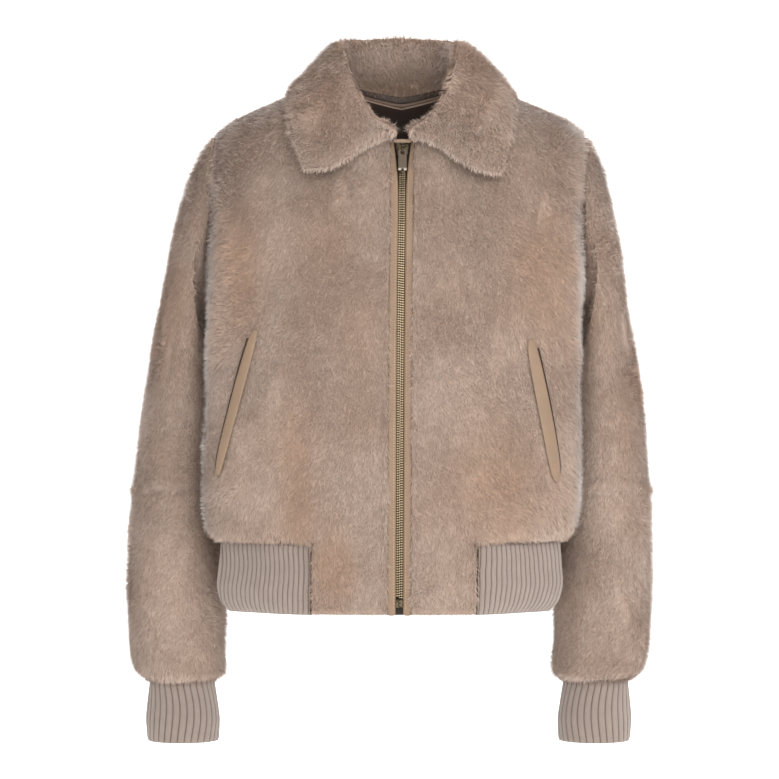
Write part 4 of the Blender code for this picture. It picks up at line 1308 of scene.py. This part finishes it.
def pocket_shadow_slit(node):
    """A dark slit along a welt's side-seam edge, where the pocket opens: a sunk suede block whose darkness
    is painted shadow.
    """
    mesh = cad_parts[node].data
    sign = 1 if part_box(node)[0].x > 0 else -1
    rows = {}
    for vertex in mesh.vertices:
        rows.setdefault(round(vertex.co.z / MM), []).append(vertex.co.copy())
    spots = []
    for height in sorted(rows, reverse=True)[1:-1]:
        side = max(rows[height], key=lambda c: c.x * sign)
        front = [c for c in rows[height] if abs(c.x - side.x) < 0.8 * MM]
        spots.append(min(front, key=lambda c: c.y))
    corners, faces = [], []
    last = len(spots) - 1
    for i, spot in enumerate(spots):
        wide = SLIT_WIDTH * (1.0 - NARROWED * i / last)
        for out, deep in SLIT_SECTION:
            corners.append(spot + Vector((sign * out * wide, deep * MM, 0)))
    for i in range(last):
        for a, b in ((0, 1), (1, 2), (2, 3), (3, 0)):
            faces.append((4 * i + a, 4 * i + b, 4 * i + 4 + b, 4 * i + 4 + a))
    faces += [(3, 2, 1, 0), tuple(4 * last + c for c in range(4))]
    shape = bpy.data.meshes.new(f"{node}_mouth")
    shape.from_pydata(corners, [], faces)
    face_outwards(shape)
    return new_piece(f"{node}_mouth", shape)


class JACKET_OT_details(bpy.types.Operator):
    """Adds the tape's folded end, the painted shadow slits where the pockets open, and the sewing."""

    bl_idname = "jacket.details"
    bl_label = "Details"

    def execute(self, context):
        self.tape_end()
        for node in WELTS:
            # Painted shadow in each pocket's opening.
            dress(pocket_shadow_slit(node), suede())
        for node, side in zip(BINDINGS, (-1, 1)):
            low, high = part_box(node)
            ends = (high.z - STITCH_TOP, low.z + STITCH_FOOT)
            points = front_path(node, *ends, 6 * MM, side * STITCH_OFF)
            seam(f"{node}_stitches", points)
        return {"FINISHED"}

    def tape_end(self):
        """The tape's end, folded over in a small flap above the slider."""
        low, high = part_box("zip_slider")
        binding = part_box("binding_left")[1]
        middle = ((low.x + high.x) / 2, low.y + 6.6 * MM, binding.z - 0.6 * MM)
        flap = rounded_bar("tape_end", middle, (17.5 * MM, 4.2 * MM, 3.6 * MM), 1.2 * MM)
        dress(flap, nappa(*TAN))


# The paper sweep, in metres: the floor's front edge, where it starts to bend up, the bend's
# radius, and half its width.
SWEEP_FRONT = -5.0
SWEEP_BACK = 3.6
SWEEP_BEND = 1.0
SWEEP_HALF = 6.0
SWEEP_HEIGHT = 6.0
# The soft boxes: place, side and watts.
LIGHTS = {
    "key": ((1.2, -2.6, 0.8), 2.8, 56),
    "fill": ((-0.2, -2.9, 0.4), 2.6, 27),
    "top": ((0.0, 0.4, 1.7), 1.6, 30),
    "rim_right": ((1.9, 0.9, 0.2), 1.4, 9),
    "rim_left": ((-1.9, 0.9, 0.2), 1.4, 2),
}
LIT = Vector((0, 0, -0.3))
WORLD_LIGHT = 0.5
LENS = 130.8
CAMERA_X = -0.011
CAMERA_Z = -0.2995


class JACKET_OT_stage(bpy.types.Operator):
    """Sets a pale paper sweep, soft studio light and the camera."""

    bl_idname = "jacket.stage"
    bl_label = "Stage"

    def execute(self, context):
        stage = context.scene.jacket_stage
        self.sweep(stage)
        self.lights()
        self.camera(stage)
        context.scene.view_settings.view_transform = "Standard"
        return {"FINISHED"}

    def sweep(self, stage):
        """Floor and backdrop in one curved sheet of paper."""
        floor, wall, bend = stage.floor_height, SWEEP_BACK + SWEEP_BEND, SWEEP_BEND
        profile = [(SWEEP_FRONT, floor), (SWEEP_BACK, floor)]
        for i in range(1, 13):
            turn = i / 12 * math.pi / 2
            profile.append((SWEEP_BACK + bend * math.sin(turn), floor + bend * (1 - math.cos(turn))))
        profile.append((wall, floor + SWEEP_HEIGHT))
        corners = [(x, y, z) for y, z in profile for x in (-SWEEP_HALF, SWEEP_HALF)]
        faces = [(2 * i, 2 * i + 1, 2 * i + 3, 2 * i + 2) for i in range(len(profile) - 1)]
        mesh = bpy.data.meshes.new("paper_sweep")
        mesh.from_pydata(corners, [], faces)
        mesh.shade_smooth()
        paper = Finish("Matt background paper", Roughness=0.9, Emission_Strength=0.6)
        paper.set("Base Color", tuple(stage.paper))
        paper.set("Emission Color", tuple(stage.paper))
        mesh.materials.append(paper.material)
        new_piece("paper_sweep", mesh)

    def lights(self):
        """Broad soft boxes in front, above and at both sides of the back, and a white world."""
        for name, (place, size, power) in LIGHTS.items():
            lamp = bpy.data.lights.new(name, "AREA")
            lamp.shape = "SQUARE"
            lamp.size = size
            lamp.energy = power
            holder = bpy.data.objects.new(name, lamp)
            holder.location = place
            holder.rotation_euler = (LIT - Vector(place)).to_track_quat("-Z", "Y").to_euler()
            bpy.context.scene.collection.objects.link(holder)
        world = bpy.data.worlds.new("Studio")
        world.use_nodes = True
        background = world.node_tree.nodes["Background"]
        background.inputs["Color"].default_value = linear("#FFFFFF")
        background.inputs["Strength"].default_value = WORLD_LIGHT
        bpy.context.scene.world = world

    def camera(self, stage):
        """Level and square on to the jacket, a little left of its middle."""
        lens = bpy.data.cameras.new("camera")
        lens.lens = LENS
        lens.sensor_width = 36.0
        holder = bpy.data.objects.new("camera", lens)
        holder.location = (CAMERA_X, -stage.distance, CAMERA_Z)
        holder.rotation_euler = (math.pi / 2, 0, 0)
        bpy.context.scene.collection.objects.link(holder)
        bpy.context.scene.camera = holder


STEPS = (
    JACKET_OT_fronts,
    JACKET_OT_backs,
    JACKET_OT_sleeves,
    JACKET_OT_collar,
    JACKET_OT_knit,
    JACKET_OT_leather,
    JACKET_OT_zip,
    JACKET_OT_details,
    JACKET_OT_stage,
)
GROUPS = {
    "jacket_fur": JacketFur,
    "jacket_knit": JacketKnit,
    "jacket_trim": JacketTrim,
    "jacket_stage": JacketStage,
}


class JACKET_PT_panel(bpy.types.Panel):
    """Lists the steps in order, and the settings that they read."""

    bl_idname = "JACKET_PT_panel"
    bl_label = "Shearling jacket"
    bl_space_type = "VIEW_3D"
    bl_region_type = "UI"
    bl_category = "Jacket"

    def draw(self, context):
        for step in STEPS:
            self.layout.operator(step.bl_idname)
        for name, group in GROUPS.items():
            box = self.layout.box()
            for key in group.__annotations__:
                box.prop(getattr(context.scene, name), key)


def register():
    for group in (*GROUPS.values(), *STEPS, JACKET_PT_panel):
        bpy.utils.register_class(group)
    for name, group in GROUPS.items():
        setattr(bpy.types.Scene, name, bpy.props.PointerProperty(type=group))


def unregister():
    for name in GROUPS:
        delattr(bpy.types.Scene, name)
    for group in (JACKET_PT_panel, *reversed(STEPS), *reversed(GROUPS.values())):
        bpy.utils.unregister_class(group)


def main():
    register()
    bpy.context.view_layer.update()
    for step in STEPS:
        area, name = step.bl_idname.split(".")
        getattr(getattr(bpy.ops, area), name)()


if __name__ == "__main__":
    main()
